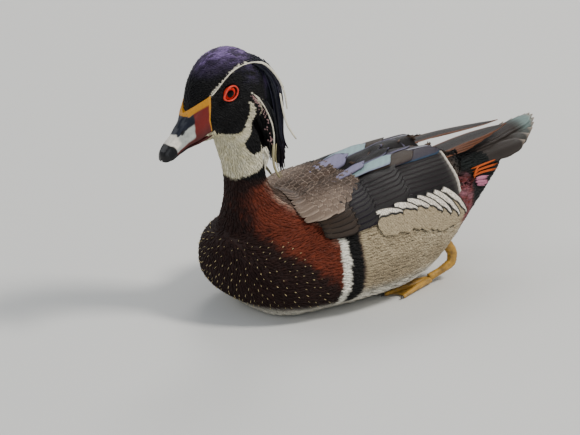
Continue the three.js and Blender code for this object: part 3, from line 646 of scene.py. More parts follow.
def coatPiece(name, laid, unwrap, finish):
    verts, colours, base = laid
    count, steps = verts.shape[:2]
    last = (steps - 1) * 3
    own = np.stack(np.broadcast_arrays((-1.0, 0.0, 1.0), np.linspace(0, 1, steps)[:, None]), axis=-1)
    faces = [ringQuads(steps, 3), [(0, 1, 2), (last + 2, last + 1, last)]]
    own = np.tile(own, (count, 1, 1, 1))
    addPiece(name, featherMesh(name, verts, colours, own, faces, unwrap(base), vane["patch"]), finish)
    print(name, "has", count, "feathers")


# Even scatter of roots over a zone of the skin's faces, thinned so that no two are nearer than the spacing.
faceCorners = skinPoints[[(f.vertices[0], f.vertices[1], f.vertices[-1]) for f in skin.data.polygons]]
faceSides = faceCorners[:, 1:] - faceCorners[:, :1]
faceArea = np.linalg.norm(np.cross(faceSides[:, 0], faceSides[:, 1]), axis=1)
faceMiddle = faceCorners.mean(axis=1)


def scatter(zone, spacing, crowd=5):
    chosen = np.flatnonzero(zone)
    weights = faceArea[chosen] / faceArea[chosen].sum()
    count = int(faceArea[chosen].sum() / spacing ** 2 * crowd)
    picks = chosen[seed.choice(len(chosen), count, p=weights)]
    u, v = seed.random((2, count, 1))
    points = faceCorners[picks, 0] + faceSides[picks, 0] * u + faceSides[picks, 1] * v
    tree = KDTree(count)
    for i, point in enumerate(points):
        tree.insert(point, i)
    tree.balance()
    dropped = np.zeros(count, bool)
    for i, point in enumerate(points):
        if not dropped[i]:
            for _, j, _ in tree.find_range(point, spacing * 0.82):
                dropped[j] = dropped[j] or j != i
    return points[~dropped]


# How feathers lie: back along the trunk, down the neck, and back and down over the head.
def lieOfTrunk(points):
    x, y, z = points.T
    fall = ease(58, 90, z) * 1.6 * ease(-40, -56, y) + ease(-72, -98, y) * 1.1
    out = np.stack([0 * x, 0 * x + 1, -fall + 0.12 * ease(60, 20, z)], axis=1)
    return out + 0.1 * seed.normal(size=out.shape)


def lieOfHead(points):
    across, ahead, up = toHead(points).T
    fall = 0.25 + 1.2 * ease(10, -30, up) + 0.7 * ease(-18, -34, ahead)
    lift = 0.5 * ease(16, 30, ahead) * ease(0, 10, up)
    out = np.stack([0.15 * np.sign(across), -1 + 0.75 * ease(-30, -60, up), lift - fall], axis=1)
    return turnFromHead(out + 0.09 * seed.normal(size=out.shape))


# Where each part of the coat grows, as masks over the skin's faces.
def coatZones():
    x, y, z = faceMiddle.T
    local = toHead(faceMiddle)
    headward = (z > 104) & (y < -44)
    nearEye = np.hypot((local[:, 1] - eyePlan["ahead"] - 0.6) / 1.12, local[:, 2] - eyePlan["up"]) < 6.9
    side = (y >= -12) & (y < 112)
    ridge = ((y >= -52) & (y < -24)) | ((np.abs(x) < 5) & (y >= -24) & (y < 96))
    return {
        "coatHead": headward & ~underBill(local) & ~nearEye & (z > 128),
        "coatNeck": headward & (z <= 131),
        "coatBreast": ~headward & (y < -10) & (z > 0.8),
        "coatFlank": ~headward & side & (z > 14) & (z < 72),
        "coatBelly": side & (z <= 16) & (z > 0.8),
        "coatBack": ~headward & ridge & (z >= 66),
        "coatRump": ~headward & (y >= 80),
        "spots": ~headward & (y < -40 - 0.55 * (z - 20)) & (np.abs(x) < 58) & (z > 12) & (z < 60),
    }


# Coat plan: spacing, length, half width and rise of the feathers. Small cream spots stand over the front of
# the breast, which painted shade makes dark, each a tiny feather of its own.
coatPlan = {
    "coatHead": {"lie": lieOfHead, "spacing": 1.2, "length": 3.3, "half": 0.62, "rise": 0.6, "finish": "head"},
    "coatNeck": {"lie": lieOfHead, "spacing": 1.5, "length": 4.6, "half": 0.8, "rise": 0.8, "finish": "soft"},
    "coatBreast": {"lie": lieOfTrunk, "spacing": 1.75, "length": 5.4, "half": 0.95, "rise": 0.7, "finish": "soft"},
    "coatFlank": {"lie": lieOfTrunk, "spacing": 1.9, "length": 7.5, "half": 1.3, "rise": 0.55, "finish": "flank"},
    "coatBelly": {"lie": lieOfTrunk, "spacing": 2.9, "length": 8.5, "half": 1.9, "rise": 1.1, "finish": "soft"},
    "coatBack": {"lie": lieOfTrunk, "spacing": 2.6, "length": 8.0, "half": 1.9, "rise": 0.9, "finish": "soft"},
    "coatRump": {"lie": lieOfTrunk, "spacing": 2.0, "length": 7.5, "half": 1.3, "rise": 1.0, "finish": "soft"},
}
spotPlan = {"lie": lieOfTrunk, "spacing": 5.2, "length": 1.4, "half": 0.3, "rise": 1.7}
zones = coatZones()
for name, plan in coatPlan.items():
    laid = layCoat(scatter(zones[name], plan["spacing"]), plan)
    if name == "coatBreast":
        spots = layCoat(scatter(zones["spots"], spotPlan["spacing"]), spotPlan, tints["spot"])
        laid = [np.concatenate(pair) for pair in zip(laid, spots)]
    coatPiece(name, laid, unwrapHead if plan["lie"] is lieOfHead else unwrapTrunk, plan["finish"])


# Larger feathers: a cambered blade of several columns, closed below. crowd brings the rows closer to the tip.
bladeGrid = {"columns": 6, "rows": 14, "thick": 0.32, "shaft": 0.28, "crowd": 1.2, "rounding": 0.45, "patch": 0.009}
bladeShapes = {
    "rounded": [(0, 0.35), (0.12, 0.75), (0.4, 1.0), (0.75, 0.97), (0.9, 0.72), (0.97, 0.42), (1, 0.1)],
    "broad": [(0, 0.4), (0.15, 0.85), (0.5, 1.0), (0.85, 0.96), (0.95, 0.7), (1, 0.25)],
    "blunt": [(0, 0.4), (0.15, 0.85), (0.5, 1.0), (0.93, 0.98), (0.975, 0.9), (1, 0.6)],
    "flight": [(0, 0.5), (0.2, 1.0), (0.7, 0.9), (0.9, 0.55), (1, 0.08)],
    "pointed": [(0, 0.5), (0.2, 1.0), (0.6, 0.85), (0.85, 0.5), (1, 0.06)],
    "fan": [(0, 0.5), (0.3, 0.9)] + [(0.86 + 0.14 * math.sin(a), math.cos(a)) for a in np.arange(8) * math.pi / 16]
    + [(1, 0.16)],
}


# A smooth path through a few points, read at the shares t of its length.
def alongPath(path, t):
    knots = np.linspace(0, 1, 41)
    fine = np.stack([np.interp(knots, np.linspace(0, 1, len(path)), axis) for axis in np.transpose(path)], axis=1)
    for _ in range(6):
        fine[1:-1] = fine[1:-1] * 0.5 + (fine[:-2] + fine[2:]) * 0.25
    return np.stack([np.interp(t, knots, axis) for axis in fine.T], axis=1)


# The shaft's height over the vane, less the camber to both sides and the lean to one.
def bladeLevel(s, width, camber, lean=0.0):
    return bladeGrid["shaft"] * np.exp(-(s * 5) ** 2) - (camber * s ** 2 + lean * s) * width[:, None]


def closeBlade(top, out, thick, s, t, tint):
    grid = np.concatenate([top, (top - out * thick)[:, ::-1]], axis=1)
    ss, tt = np.broadcast_arrays(np.concatenate([s, s[::-1]]), t[:, None])
    colours = tint(ss.ravel(), tt.ravel()).reshape(*ss.shape, 3)
    return grid, colours, np.stack([ss, tt], axis=-1)


# A feather in free air along a path with its normals.
def blade(path, normals, half, tint, shape, camber, thick=bladeGrid["thick"], ragged=0.0):
    rows, columns = bladeGrid["rows"], bladeGrid["columns"]
    t = np.linspace(0, 1, rows + 1) ** 0.9
    s = np.linspace(-1, 1, columns + 1)
    middle = alongPath(path, t)
    ahead = unit(np.gradient(middle, axis=0))
    out = levelled(alongPath(normals, t), ahead)
    width = half * profile(bladeShapes[shape], t)
    edge = 1 + ragged * seed.normal(size=(rows + 1, 2))
    across = s * np.where(s < 0, edge[:, :1], edge[:, 1:]) * width[:, None]
    back = -half * bladeGrid["rounding"] * s ** 2 * t[:, None] ** 6
    level = bladeLevel(s, width, camber)
    top = middle[:, None] + np.cross(out, ahead)[:, None] * across[..., None]
    top = top + out[:, None] * level[..., None] + ahead[:, None] * back[..., None]
    return closeBlade(top, out[:, None], thick, s, t, tint)


def bladePiece(name, blades, unwrap, finish, *nodes):
    verts, colours, own = (np.stack(part) for part in zip(*blades))
    rows, per = verts.shape[1:3]
    last = (rows - 1) * per
    ends = range(per // 2 - 1)
    faces = ringQuads(rows, per) + [(j, j + 1, per - 2 - j, per - 1 - j) for j in ends]
    faces += [(last + per - 1 - j, last + per - 2 - j, last + j + 1, last + j) for j in ends]
    centres = unwrap(verts[:, 0].mean(axis=1))
    mesh = featherMesh(name, verts, np.clip(colours, 0, 1), own, [faces], centres, bladeGrid["patch"])
    addPiece(name, mesh, finish, nodes)
    print(name, "has", len(blades), "blades")


def bladePair(name, make, finish, node):
    for sideName, side in sides.items():
        bladePiece(name + sideName, make(side), unwrapTrunk, finish, node + sideName)


# A smooth shell over the trunk for the larger feathers, as distances from its axis over stations and angles. The
# angles are in degrees from the ridge.
shellPlan = {"from": -46.0, "to": 131.0, "step": 2.5, "turn": 108.0, "turnStep": 3.0, "smooth": 3, "axis": 45}
stations = np.arange(shellPlan["from"], shellPlan["to"], shellPlan["step"])
angles = np.arange(-shellPlan["turn"], shellPlan["turn"] + 1, shellPlan["turnStep"])


def outFrom(angle):
    turn = np.radians(angle)
    return np.stack([np.sin(turn), 0 * turn, np.cos(turn)], axis=-1)


# Takes each value of a grid with its two neighbours along an axis.
def spread(grid, axis, pick):
    padded = np.concatenate([np.take(grid, [0], axis), grid, np.take(grid, [-1], axis)], axis)
    return pick([np.take(padded, np.arange(grid.shape[axis]) + k, axis) for k in range(3)])


def makeShell(start=64, missing=40):
    grid = np.full((len(stations), len(angles)), float(missing))
    for i, y in enumerate(stations):
        centre = Vector((0, y, shellPlan["axis"]))
        for j, angle in enumerate(angles):
            out = Vector(outFrom(angle))
            place = skinTree.ray_cast(centre + out * start, -out)[0]
            if place is not None:
                grid[i, j] = (place - centre).length
    for axis in (0, 1):
        grid = spread(grid, axis, lambda parts: np.maximum.reduce(parts))
    for axis in (0, 1) * shellPlan["smooth"]:
        grid = spread(grid, axis, lambda parts: (parts[0] + 2 * parts[1] + parts[2]) / 4)
    return grid


shell = makeShell()


def shellPlace(y, angle):
    u = np.clip((y - stations[0]) / shellPlan["step"], 0, len(stations) - 1.001)
    v = np.clip((angle - angles[0]) / shellPlan["turnStep"], 0, len(angles) - 1.001)
    i, j = u.astype(int), v.astype(int)
    u, v = u - i, v - j
    low = shell[i, j] * (1 - v) + shell[i, j + 1] * v
    high = shell[i + 1, j] * (1 - v) + shell[i + 1, j + 1] * v
    radius = low * (1 - u) + high * u
    return outFrom(angle) * radius[..., None] + np.stack([0 * y, y, shellPlan["axis"] + 0 * y], axis=-1)


def onShell(y, angle, lift, near=1.5):
    along = shellPlace(y + near, angle) - shellPlace(y - near, angle)
    around = shellPlace(y, angle + near) - shellPlace(y, angle - near)
    normal = unit(np.cross(around, along))
    return shellPlace(y, angle) + normal * lift[..., None], normal


# The shell laid flat: station and arc length, at one radius for all of it.
flatRadius = 60.0


def flatPlace(y, angle):
    return np.array((y, math.radians(angle) * flatRadius))


# A feather laid over the shell from root to tip, both given as (station, angle, lift). s runs across it and is
# positive towards the ridge.
def draped(root, tip, side, half, tint, shape, camber, lean=0.0):
    rows, columns = bladeGrid["rows"], bladeGrid["columns"]
    t = 1 - (1 - np.linspace(0, 1, rows + 1)) ** bladeGrid["crowd"]
    s = np.linspace(-1, 1, columns + 1)
    s = side * (np.sin(s * math.pi / 2) + s) / 2
    start, end = flatPlace(*root[:2]), flatPlace(*tip[:2])
    ahead = unit(end - start)
    cross = np.array((ahead[1], -ahead[0]))
    width = half * profile(bladeShapes[shape], t)
    back = 0 if shape in ("fan", "blunt") else half * bladeGrid["rounding"] * s ** 2 * t[:, None] ** 6
    reach = t[:, None] * np.linalg.norm(end - start) - back + 0 * s
    flat = start + ahead * reach[..., None] + cross * (s * width[:, None])[..., None]
    height = (root[2] + (tip[2] - root[2]) * t)[:, None] + bladeLevel(s, width, camber, lean)
    top, normal = onShell(flat[..., 0], side * np.degrees(flat[..., 1] / flatRadius), height)
    return closeBlade(top, normal, bladeGrid["thick"], s, t, tint)


# Paint for a blade: a body, an edge from the share rim outwards, maybe a tip, and faint streaks over all.
def edged(body, edge, tip=None, tipFrom=0.9, streaks=0.12, rim=0.6):
    def tint(s, t):
        reach = np.maximum(np.abs(s), ease(0.9, 1.0, t))
        out = blend(body * np.ones((len(s), 3)), edge, ease(rim, 1.0, reach) * 0.8)
        if tip is not None:
            out = blend(out, tip, ease(tipFrom - 0.02, tipFrom + 0.02, t))
        return out * (1 - streaks * 0.5 + streaks * np.sin(t * 47 + s * 9)[:, None] * 0.5)
    return tint


def plainTint(hue):
    return lambda s, t: np.tile(hue, (len(s), 1))


# How far a blade is turned about its own length, so that each lies with its lower edge over the next one.
shingle = 0.13

# Shoulder feathers: staggered rows, from the neck to the front of the wing and along the ridge.
shoulderPlan = {
    "from": -44, "step": 5.0, "rows": 9, "columns": 9, "reach": 15, "half": 5.2,
    "outer": [(-46, 60), (-30, 56), (-14, 44), (0, 34)],
}


def mantleBlades(side):
    blades = []
    for row in reversed(range(shoulderPlan["rows"])):
        y = shoulderPlan["from"] + row * shoulderPlan["step"]
        outer = profile(shoulderPlan["outer"], y)
        for column in range(shoulderPlan["columns"]):
            share = (column + 0.5 * (row % 2)) / shoulderPlan["columns"]
            angle = 1 + (outer - 1) * share + seed.normal() * 0.8
            pale = ease(0.3, 0.8, share) * (1 - ease(-30, -8, y))
            body = blend(tints["bronzeDark"], tints["bronze"], 0.15 + 0.5 * seed.random() + 0.2 * pale)
            body = blend(body, tints["shoulderPale"], 0.3 * pale)
            edge = blend(tints["bronze"], tints["bronzePale"], min(0.1 + 0.7 * seed.random() + 0.5 * pale, 1))
            half = shoulderPlan["half"] * (1 + 0.1 * seed.normal())
            tip = (y + shoulderPlan["reach"], angle * 0.97, 3.2 + 0.4 * seed.random())
            tint = edged(body, edge, rim=0.55)
            blades.append(draped((y, angle, 1.0), tip, side, half, tint, "rounded", 0.08, shingle * 0.6))
    return blades


bladePair("mantle_", mantleBlades, "wing", "scapulars_")

# The folded wing, tier by tier. Each tier runs from its innermost feather to its lowest: root and tip as
# (station, angle, lift).
wingTiers = [
    {"first": ((24, 27, 0.4), (86, 21, 1.4)), "last": ((6, 66, 0.3), (88, 57, 1.0)), "count": 10, "half": 7.0,
     "body": "wingDark", "edge": "wingRim", "tip": "bandWhite", "shape": "blunt", "rim": 0.85},
    {"first": ((-12, 33, 0.6), (44, 27, 2.3)), "last": ((-18, 67, 0.4), (40, 61, 2.0)), "count": 9, "half": 7.0,
     "body": "wingDark", "edge": "wingRim", "shape": "broad", "rim": 0.85},
    {"first": ((-26, 40, 0.8), (12, 33, 3.0)), "last": ((-32, 69, 0.4), (8, 65, 2.6)), "count": 9, "half": 6.0,
     "body": "wingDark", "edge": "wingViolet", "shape": "rounded", "rim": 0.7},
    {"first": ((-36, 50, 0.8), (-9, 42, 2.6)), "last": ((-38, 70, 0.4), (-11, 69, 2.8)), "count": 7, "half": 5.4,
     "body": "bronzeDark", "edge": "wingDark", "shape": "rounded", "rim": 0.6},
]
# Inner feathers over the wing's upper edge, each with its own tint: root, tip, half width, body, edge. The silver,
# lavender and blue edges along the wing's top are painted highlights, and the pale green and lavender feathers are
# iridescent tertials, partly their own colour and partly painted sheen.
innerPlan = [
    ((34, 6, 0.4), (92, 9, 1.4), 8, "wingDark", "ridgeHighlight"),
    ((18, 5, 0.6), (72, 6, 1.9), 8, "wingDark", "lavenderSheen"),
    ((0, 5, 0.8), (52, 5, 2.3), 8, "wingDark", "lavenderSheen"),
    ((30, 22, 0.8), (90, 18, 2.2), 8.5, "wingViolet", "wingBlueHighlight"),
    ((18, 22, 1.0), (64, 19, 2.9), 9.0, "bronzeDark", "wingViolet"),
    ((4, 19, 1.4), (46, 17, 3.4), 9.5, "tertialPaleSheen", "lavenderSheen"),
    ((-14, 16, 1.8), (27, 12, 4.0), 9.0, "lavenderSheen", "wingViolet"),
]


def wingBlades(side):
    blades = []
    for tier in wingTiers:
        ends = np.array((tier["first"], tier["last"]), float)
        tip = tints[tier["tip"]] if "tip" in tier else None
        tint = edged(tints[tier["body"]], tints[tier["edge"]], tip, tipFrom=0.972, rim=tier["rim"])
        for share in np.linspace(1, 0, tier["count"]):
            root, end = ends[0] + (ends[1] - ends[0]) * share
            blades.append(draped(root, end, side, tier["half"], tint, tier["shape"], 0.06, shingle))
    for root, tip, half, body, edge in innerPlan:
        tint = edged(tints[body], tints[edge], rim=0.72)
        blades.append(draped(root, tip, side, half, tint, "broad", 0.08, shingle))
    return blades


bladePair("wing_feathers_", wingBlades, "wing", "wing_")

# Flight feathers over the rump, the lowest first: where their tips end, and how the roots step outwards.
flightPlan = {"tips": [(5, 158, 94.6), (8, 148, 93), (11, 137, 91.4), (14, 126, 90)], "root": (17, 60, 88.5),
              "step": (1.5, 0, -0.5), "bow": (0.6, 0, 1.8), "normal": (0.12, -0.1, 1.0), "half": 7.0}


def flightBlades(side):
    blades = []
    mirror = np.array((side, 1, 1))
    tint = edged(blend(tints["tail"], tints["wingDark"], 0.7), tints["copper"], rim=0.84)
    for i, tip in reversed(list(enumerate(flightPlan["tips"]))):
        root = mirror * (np.array(flightPlan["root"]) + np.array(flightPlan["step"]) * i)
        tip = mirror * tip
        path = [root, (root + tip) / 2 + mirror * flightPlan["bow"], tip]
        normal = unit(mirror * flightPlan["normal"])
        blades.append(blade(path, [normal] * 3, flightPlan["half"], tint, "flight", 0.1))
    return blades


bladePair("flight_feathers_", flightBlades, "tail", "primaries_")

# Tail: twelve feathers that step down and stop short towards the sides.
tailPlan = {
    "root": (9, 110, 78), "tip": (21, 185, 95.8), "step": 24, "tent": 13, "sag": 1.4, "feathers": 12, "width": 6.8,
}


# Tail paint: dark brown with a paler tip. The middle feathers turn pale green near their tips, a painted sheen of the
# sky on the tail's top.
def tailTint(away):
    body = blend(tints["tail"], tints["wingDark"], 0.3 * (1 - away))
    plain = edged(body, tints["tail"] * 1.3, tints["tailPale"], 0.955)

    def tint(s, t):
        return blend(plain(s, t), tints["tailSkySheen"], hill(0.76, 0.9, 0.95, 0.97, t) * (1 - away) ** 2 * 0.8)
    return tint


blades = []
for i in sorted(range(tailPlan["feathers"]), key=lambda i: -abs(2 * i + 1 - tailPlan["feathers"])):
    share = (2 * i + 1) / tailPlan["feathers"] - 1
    away = abs(share)
    fall = tailPlan["tent"] * away ** 1.4
    root = np.array(tailPlan["root"]) * (share, 1, 1) - (0, 0, 0.35 * fall)
    tip = np.array(tailPlan["tip"]) * (share, 1, 1) - (0, tailPlan["step"] * away ** 2, fall)
    path = [root, (root + tip) / 2 - (0, 0, tailPlan["sag"]), tip]
    normal = unit(np.array((0.75 * share, -0.22, 1.0)))
    blades.append(blade(path, [normal] * 3, tailPlan["width"], tailTint(away), "broad", 0.1, ragged=0.05))
bladePiece("tail_feathers", blades, unwrapTrunk, "tail", "tail")
print("wings and tail are laid")


# A surface drawn over a grid: place(u, v) gives the point in mm, and welding closes what meets.
def shapedGrid(name, columns, rows, place, finish, tint, *nodes):
    bm = bmesh.new()
    bmesh.ops.create_grid(bm, x_segments=columns, y_segments=rows, size=0.5)
    for vert in bm.verts:
        vert.co = Vector([float(n) * mm for n in place(vert.co.x + 0.5, vert.co.y + 0.5)])
    bmesh.ops.remove_doubles(bm, verts=bm.verts, dist=0.02 * mm)
    bmesh.ops.dissolve_degenerate(bm, edges=bm.edges, dist=0.002 * mm)
    bmesh.ops.recalc_face_normals(bm, faces=bm.faces)
    mesh = toMesh(bm, name)
    paintVertices(mesh, np.clip(tint(meshArrays(mesh)[0]), 0, 1))
    addPiece(name, mesh, finish, nodes)


# The bill in the head's frame. culmen and mouth give heights, breadth the half width, all by distance ahead. rear
# is the edge that it meets the face with, as (across, ahead, up) by share round the section.
billPlan = {
    "tip": 60,
    "culmen": [(17, 7.3), (26, 3.4), (34.3, -1.2), (38, -5.6), (44, -11.3), (50, -15.6), (55, -18.8), (58.3, -21.6),
               (59.6, -24.2), (60, -26.6)],
    "mouth": [(17, -18.5), (22, -20), (30, -21.6), (40, -22.4), (48, -24.2), (55, -26.6), (60, -28.2)],
    "breadth": [(17, 12.4), (22, 11.8), (28, 10.4), (34, 8.9), (40, 7.9), (48, 7.5), (54, 7.4), (57.3, 6.3),
                (59, 4.4), (59.8, 2.4), (60, 0.5)],
    "rearShares": (0, 0.22, 0.42, 0.6, 0.8, 1),
    "rear": [(0, 34.6, -1.8), (6.2, 27.5, 3), (11.6, 17.8, 7.8), (12.2, 19.4, 0.4), (11.9, 21.4, -9),
             (11.3, 20.6, -18)],
    "tuckShare": 0.06,
    "nostril": (41.6, -12.6),
    "lowerFrom": 18, "lowerTo": 58.2,
    "lowerDeep": [(18, 5.0), (30, 4.6), (45, 3.6), (54, 2.6), (58.2, 0.8)],
}


# How far a place is from the nostril's middle, as shares of its size: 1 on its edge. It slopes with the ridge.
def nostrilReach(ahead, up):
    da, du = ahead - billPlan["nostril"][0], up - billPlan["nostril"][1]
    return np.hypot((0.8 * da - 0.6 * du) / 2.5, (0.6 * da + 0.8 * du) / 1.0)


def peak(x, middle, width):
    return math.exp(-((x - middle) / width) ** 2)


def billSection(s, ahead):
    top, bottom, wide = (profile(billPlan[key], ahead) for key in ("culmen", "mouth", "breadth"))
    turn = s * math.pi / 2
    across = wide * math.sin(turn) ** (0.75 if ahead < 50 else 0.62)
    # the flanks of the bill are a little hollow before they flare to the lip
    across *= 1 - 0.1 * math.sin(min(1, s * 1.15) * math.pi) * max(0, 1 - abs(ahead - 44) / 30)
    return across, bottom + (top - bottom) * math.cos(turn) ** 1.15


def upperBill(u, v):
    s, side = abs(2 * u - 1), 1 if u >= 0.5 else -1
    rear = [np.interp(s, billPlan["rearShares"], column) for column in zip(*billPlan["rear"])]
    tuck = max(0, 1 - v / billPlan["tuckShare"])
    run = max(0, v - billPlan["tuckShare"]) / (1 - billPlan["tuckShare"])
    ahead = rear[1] + (billPlan["tip"] - rear[1]) * run
    across, up = billSection(s, ahead)
    hold = 1 - ease(0, 0.35, run)
    across = across * (1 - hold) + rear[0] * hold
    up = up * (1 - hold) + (rear[2] + (up - billSection(s, rear[1])[1]) * 0.35) * hold
    across = max(0, across - 2.6 * tuck)
    if s > 0.2 and across > 2:
        around = nostrilReach(ahead, up)
        across += 0.4 * peak(around, 1.35, 0.4) - 0.9 * peak(around, 0, 0.8)
    # a raised rim where the bill meets the face, and a nail that hooks a little over the tip
    rim = 0.9 * peak(run, 0.04, 0.05)
    across += rim * math.sin(s * math.pi / 2)
    up += rim * math.cos(s * math.pi / 2) - 0.6 * peak(ahead, 59, 2) * s * s
    return fromHead((side * across, ahead - 1.2 * tuck, up))


# The vault of the upper bill, closed below by its own mouth side.
def closedBill(u, v, vault=0.75):
    if u <= vault:
        return upperBill(u / vault, v)
    share = (u - vault) / (1 - vault)
    a, b = upperBill(1.0, v), upperBill(0.0, v)
    return a + (b - a) * share + np.array((0, 0, 1.2)) * math.sin(share * math.pi)


def lowerBill(u, v):
    ahead = billPlan["lowerFrom"] + (billPlan["lowerTo"] - billPlan["lowerFrom"]) * v
    pinch = 1 if 0.02 < v < 0.985 else 0
    wide = (profile(billPlan["breadth"], ahead) * 0.88 - 0.5) * pinch
    deep = profile(billPlan["lowerDeep"], ahead)
    middle = profile(billPlan["mouth"], ahead) - 0.25 - deep / 2
    turn = u * fullTurn
    return fromHead((wide * math.cos(turn), ahead, middle + deep / 2 * math.sin(turn) * pinch))


# Markings of the bill: where the yellow edge is how wide, the saddle's lower edge, and where flank and nail start.
billMarks = {
    "yellowTop": [(17, 2.8), (26, 1.9), (34, 0.9)],
    "yellowSide": [(-17, 1.0), (-4, 1.5), (7, 3.2)],
    "behind": [(17.8, 7.2), (34.6, -2.6)],
    "saddle": [(30.4, -4.6), (32, -9.0), (37.7, -10.9), (42.2, -12.9), (46, -14.6), (48, -12)],
    "flank": [(-21, 35), (-17, 33.6), (-9, 32.4), (-4, 31)],
    "nail": [(0, 53.6), (4, 52.6), (7, 50.8)],
}


def billTint(points):
    across, ahead, up = toHead(points).T
    top, low = profile(billPlan["culmen"], ahead), profile(billPlan["mouth"], ahead)
    height = (up - low) / np.maximum(top - low, 1)
    wobble = cloud(points, 4) * 0.6
    out = blend(tints["billRed"], tints["billDeep"], 0.8 * (1 - ease(0.05, 0.5, height)))
    onTop = up > 6.5 - 0.48 * (ahead - 17.6) - 3.4
    wide = np.where(onTop, profile(billMarks["yellowTop"], ahead), profile(billMarks["yellowSide"], up))
    edge = distanceTo(marks["billEdge"], ahead + wobble * 0.3, up)
    yellow = np.where(up > profile(billMarks["behind"], ahead), 1.0, 1 - ease(-0.25, 0.35, edge - wide))
    out = blend(out, tints["billYellow"], yellow)
    # white flank painted grey as in shade, full white only in the band on top by the tip; blue-black saddle over
    # them, black nostril and nail
    pale = blend(tints["billWhiteShaded"], tints["bandWhite"], ease(44.5, 47.5, ahead) * ease(0.25, 0.5, height))
    pale = blend(pale, tints["billSlate"], 0.2 * mist(points, 2))
    flank = ease(-0.5, 0.6, ahead + wobble - profile(billMarks["flank"], up)) * ease(0.12, 0.2, height)
    out = blend(out, pale, flank * ease(30.4, 31, ahead) * (1 - yellow))
    saddle = ease(-0.3, 0.5, up + 0.5 * wobble - profile(billMarks["saddle"], ahead))
    saddle = saddle * (1 - ease(46.2, 47.4, ahead + wobble)) * ease(30.6, 31.4, ahead) * (1 - yellow)
    out = blend(out, blend(tints["billBlack"], tints["billSlate"], 0.3 * ease(0.3, 0.8, height)), saddle)
    out = blend(out, tints["billBlack"], 1 - ease(0.75, 1.05, nostrilReach(ahead, up)))
    nail = ahead + 0.8 * wobble - profile(billMarks["nail"], np.abs(across))
    out = blend(out, tints["billBlack"], ease(-0.4, 0.5, nail))
    return blend(out, tints["billDeep"], (1 - ease(0.03, 0.12, height)) * hill(23, 25, 49, 51, ahead))


def lowerBillTint(points):
    return blend(tints["billDeep"], tints["billBlack"], ease(30, 46, toHead(points)[:, 1]))


shapedGrid("bill_upper_horn", 150, 110, closedBill, "bill", billTint, "bill_upper")
shapedGrid("bill_lower_horn", 40, 50, lowerBill, "bill", lowerBillTint, "bill_lower")
print("bill is made")


# Eyes: a painted ball that looks along its axis, with pupil and iris by degrees off that axis.
def eyePiece(sideName, side):
    centre = fromHead((side * eyePlan["across"], eyePlan["ahead"], eyePlan["up"]))
    axis = unit(turnFromHead((side, 0.22, 0.04)))
    bm = bmesh.new()
    bmesh.ops.create_uvsphere(bm, u_segments=96, v_segments=64, radius=eyePlan["radius"] * mm)
    turn = Vector(axis).to_track_quat("Z", "Y").to_matrix()
    bmesh.ops.rotate(bm, verts=bm.verts, cent=(0, 0, 0), matrix=turn)
    bmesh.ops.translate(bm, verts=bm.verts, vec=Vector(centre) * mm)
    mesh = toMesh(bm, "eyeball")
    points = meshArrays(mesh)[0]
    off = np.degrees(np.arccos(np.clip(unit(points - centre) @ axis, -1, 1)))
    iris = blend(tints["eyeRed"], tints["lidRed"], ease(34, 46, off) * 0.6)
    iris = iris * (1 + 0.12 * cloud(points, 0.9)[:, None])
    out = blend(tints["claw"] * 0.15, iris, ease(27.5, 29, off))
    paintVertices(mesh, np.clip(blend(out, tints["claw"] * 0.3, ease(49, 52, off)), 0, 1))
    addPiece("eyeball_" + sideName, mesh, "eye", ["eye_" + sideName])


# The bare red ring of the lids, drawn out to a point in front.
lidPlan = {
    "span": 16.9, "front": 7.3, "back": 6.7, "high": 5.5, "tube": 0.68, "bulge": 0.8, "pinch": 0.3, "droop": 1.2,
    "follow": 0.045, "inner": 4.5, "size": 0.93,
}


def lidPiece(sideName, side):
    def place(u, v):
        turn, ring = u * fullTurn, v * fullTurn
        front = max(0, math.cos(turn)) ** 2
        ahead = (lidPlan["front"] if front else lidPlan["back"]) * math.cos(turn)
        up = lidPlan["high"] * math.sin(turn) * (1 - lidPlan["pinch"] * front) - lidPlan["droop"] * front
        size = math.hypot(ahead, up)
        reach = lidPlan["tube"] * math.cos(ring)
        # the ring follows the ball: further in at its outer edge
        across = lidPlan["span"] + lidPlan["bulge"] * math.sin(ring)
        across -= lidPlan["follow"] * (size + reach - lidPlan["inner"]) ** 2
        grow = (1 + reach / size) * lidPlan["size"]
        return fromHead((side * across, eyePlan["ahead"] + ahead * grow, eyePlan["up"] + up * grow))

    def tint(points):
        return tints["lidRed"] * (0.85 + 0.15 * cloud(points, 1.2)[:, None])
    shapedGrid("eye_ring_" + sideName, 64, 14, place, "lid", tint, "eyelid_" + sideName)


for sideName, side in sides.items():
    eyePiece(sideName, side)
    lidPiece(sideName, side)
print("eyes are in")


# Crest: a core that hangs from the crown and nape, as (ahead, up, width, thickness, tilt) down its length.
crestCore = [(-20, 15, 11.5, 13, 60), (-28, 6, 13, 14, 38), (-34, -6, 13, 14, 18), (-38.5, -22, 11.6, 13.4, 6),
             (-41, -38, 9.6, 11.4, 0), (-42, -52, 7.2, 8.4, 0), (-43, -64, 4.6, 5.4, 0), (-44, -74, 1.8, 2.0, 0)]


# The crest's paint: black with green and purple gloss, partly its own colour and brighter purple towards the top as
# painted sheen.
def crestTint(points):
    up = toHead(points)[:, 2]
    sheen = blend(tints["crownGreen"], tints["crownPurpleSheen"] * 0.6, ease(-20, 12, up) * mist(points, 6))
    sheen = blend(sheen, tints["crownPurpleSheen"], 0.6 * ease(4, 22, up))
    return blend(tints["headBlack"], sheen, 0.6 * ease(-30, 8, up) + 0.12)


def crestPlace(u, v):
    ahead, up, wide, thick, tilt = (np.interp(v, np.linspace(0, 1, 8), column) for column in zip(*crestCore))
    turn, tilt = u * fullTurn, math.radians(tilt)
    close = 0 if v in (0.0, 1.0) else 1
    back = thick * 0.82 * math.sin(turn) * close
    across = wide * 0.9 * math.cos(turn) * close
    return fromHead((across, ahead - back * math.cos(tilt) * 0.8, up + back * math.sin(tilt)))


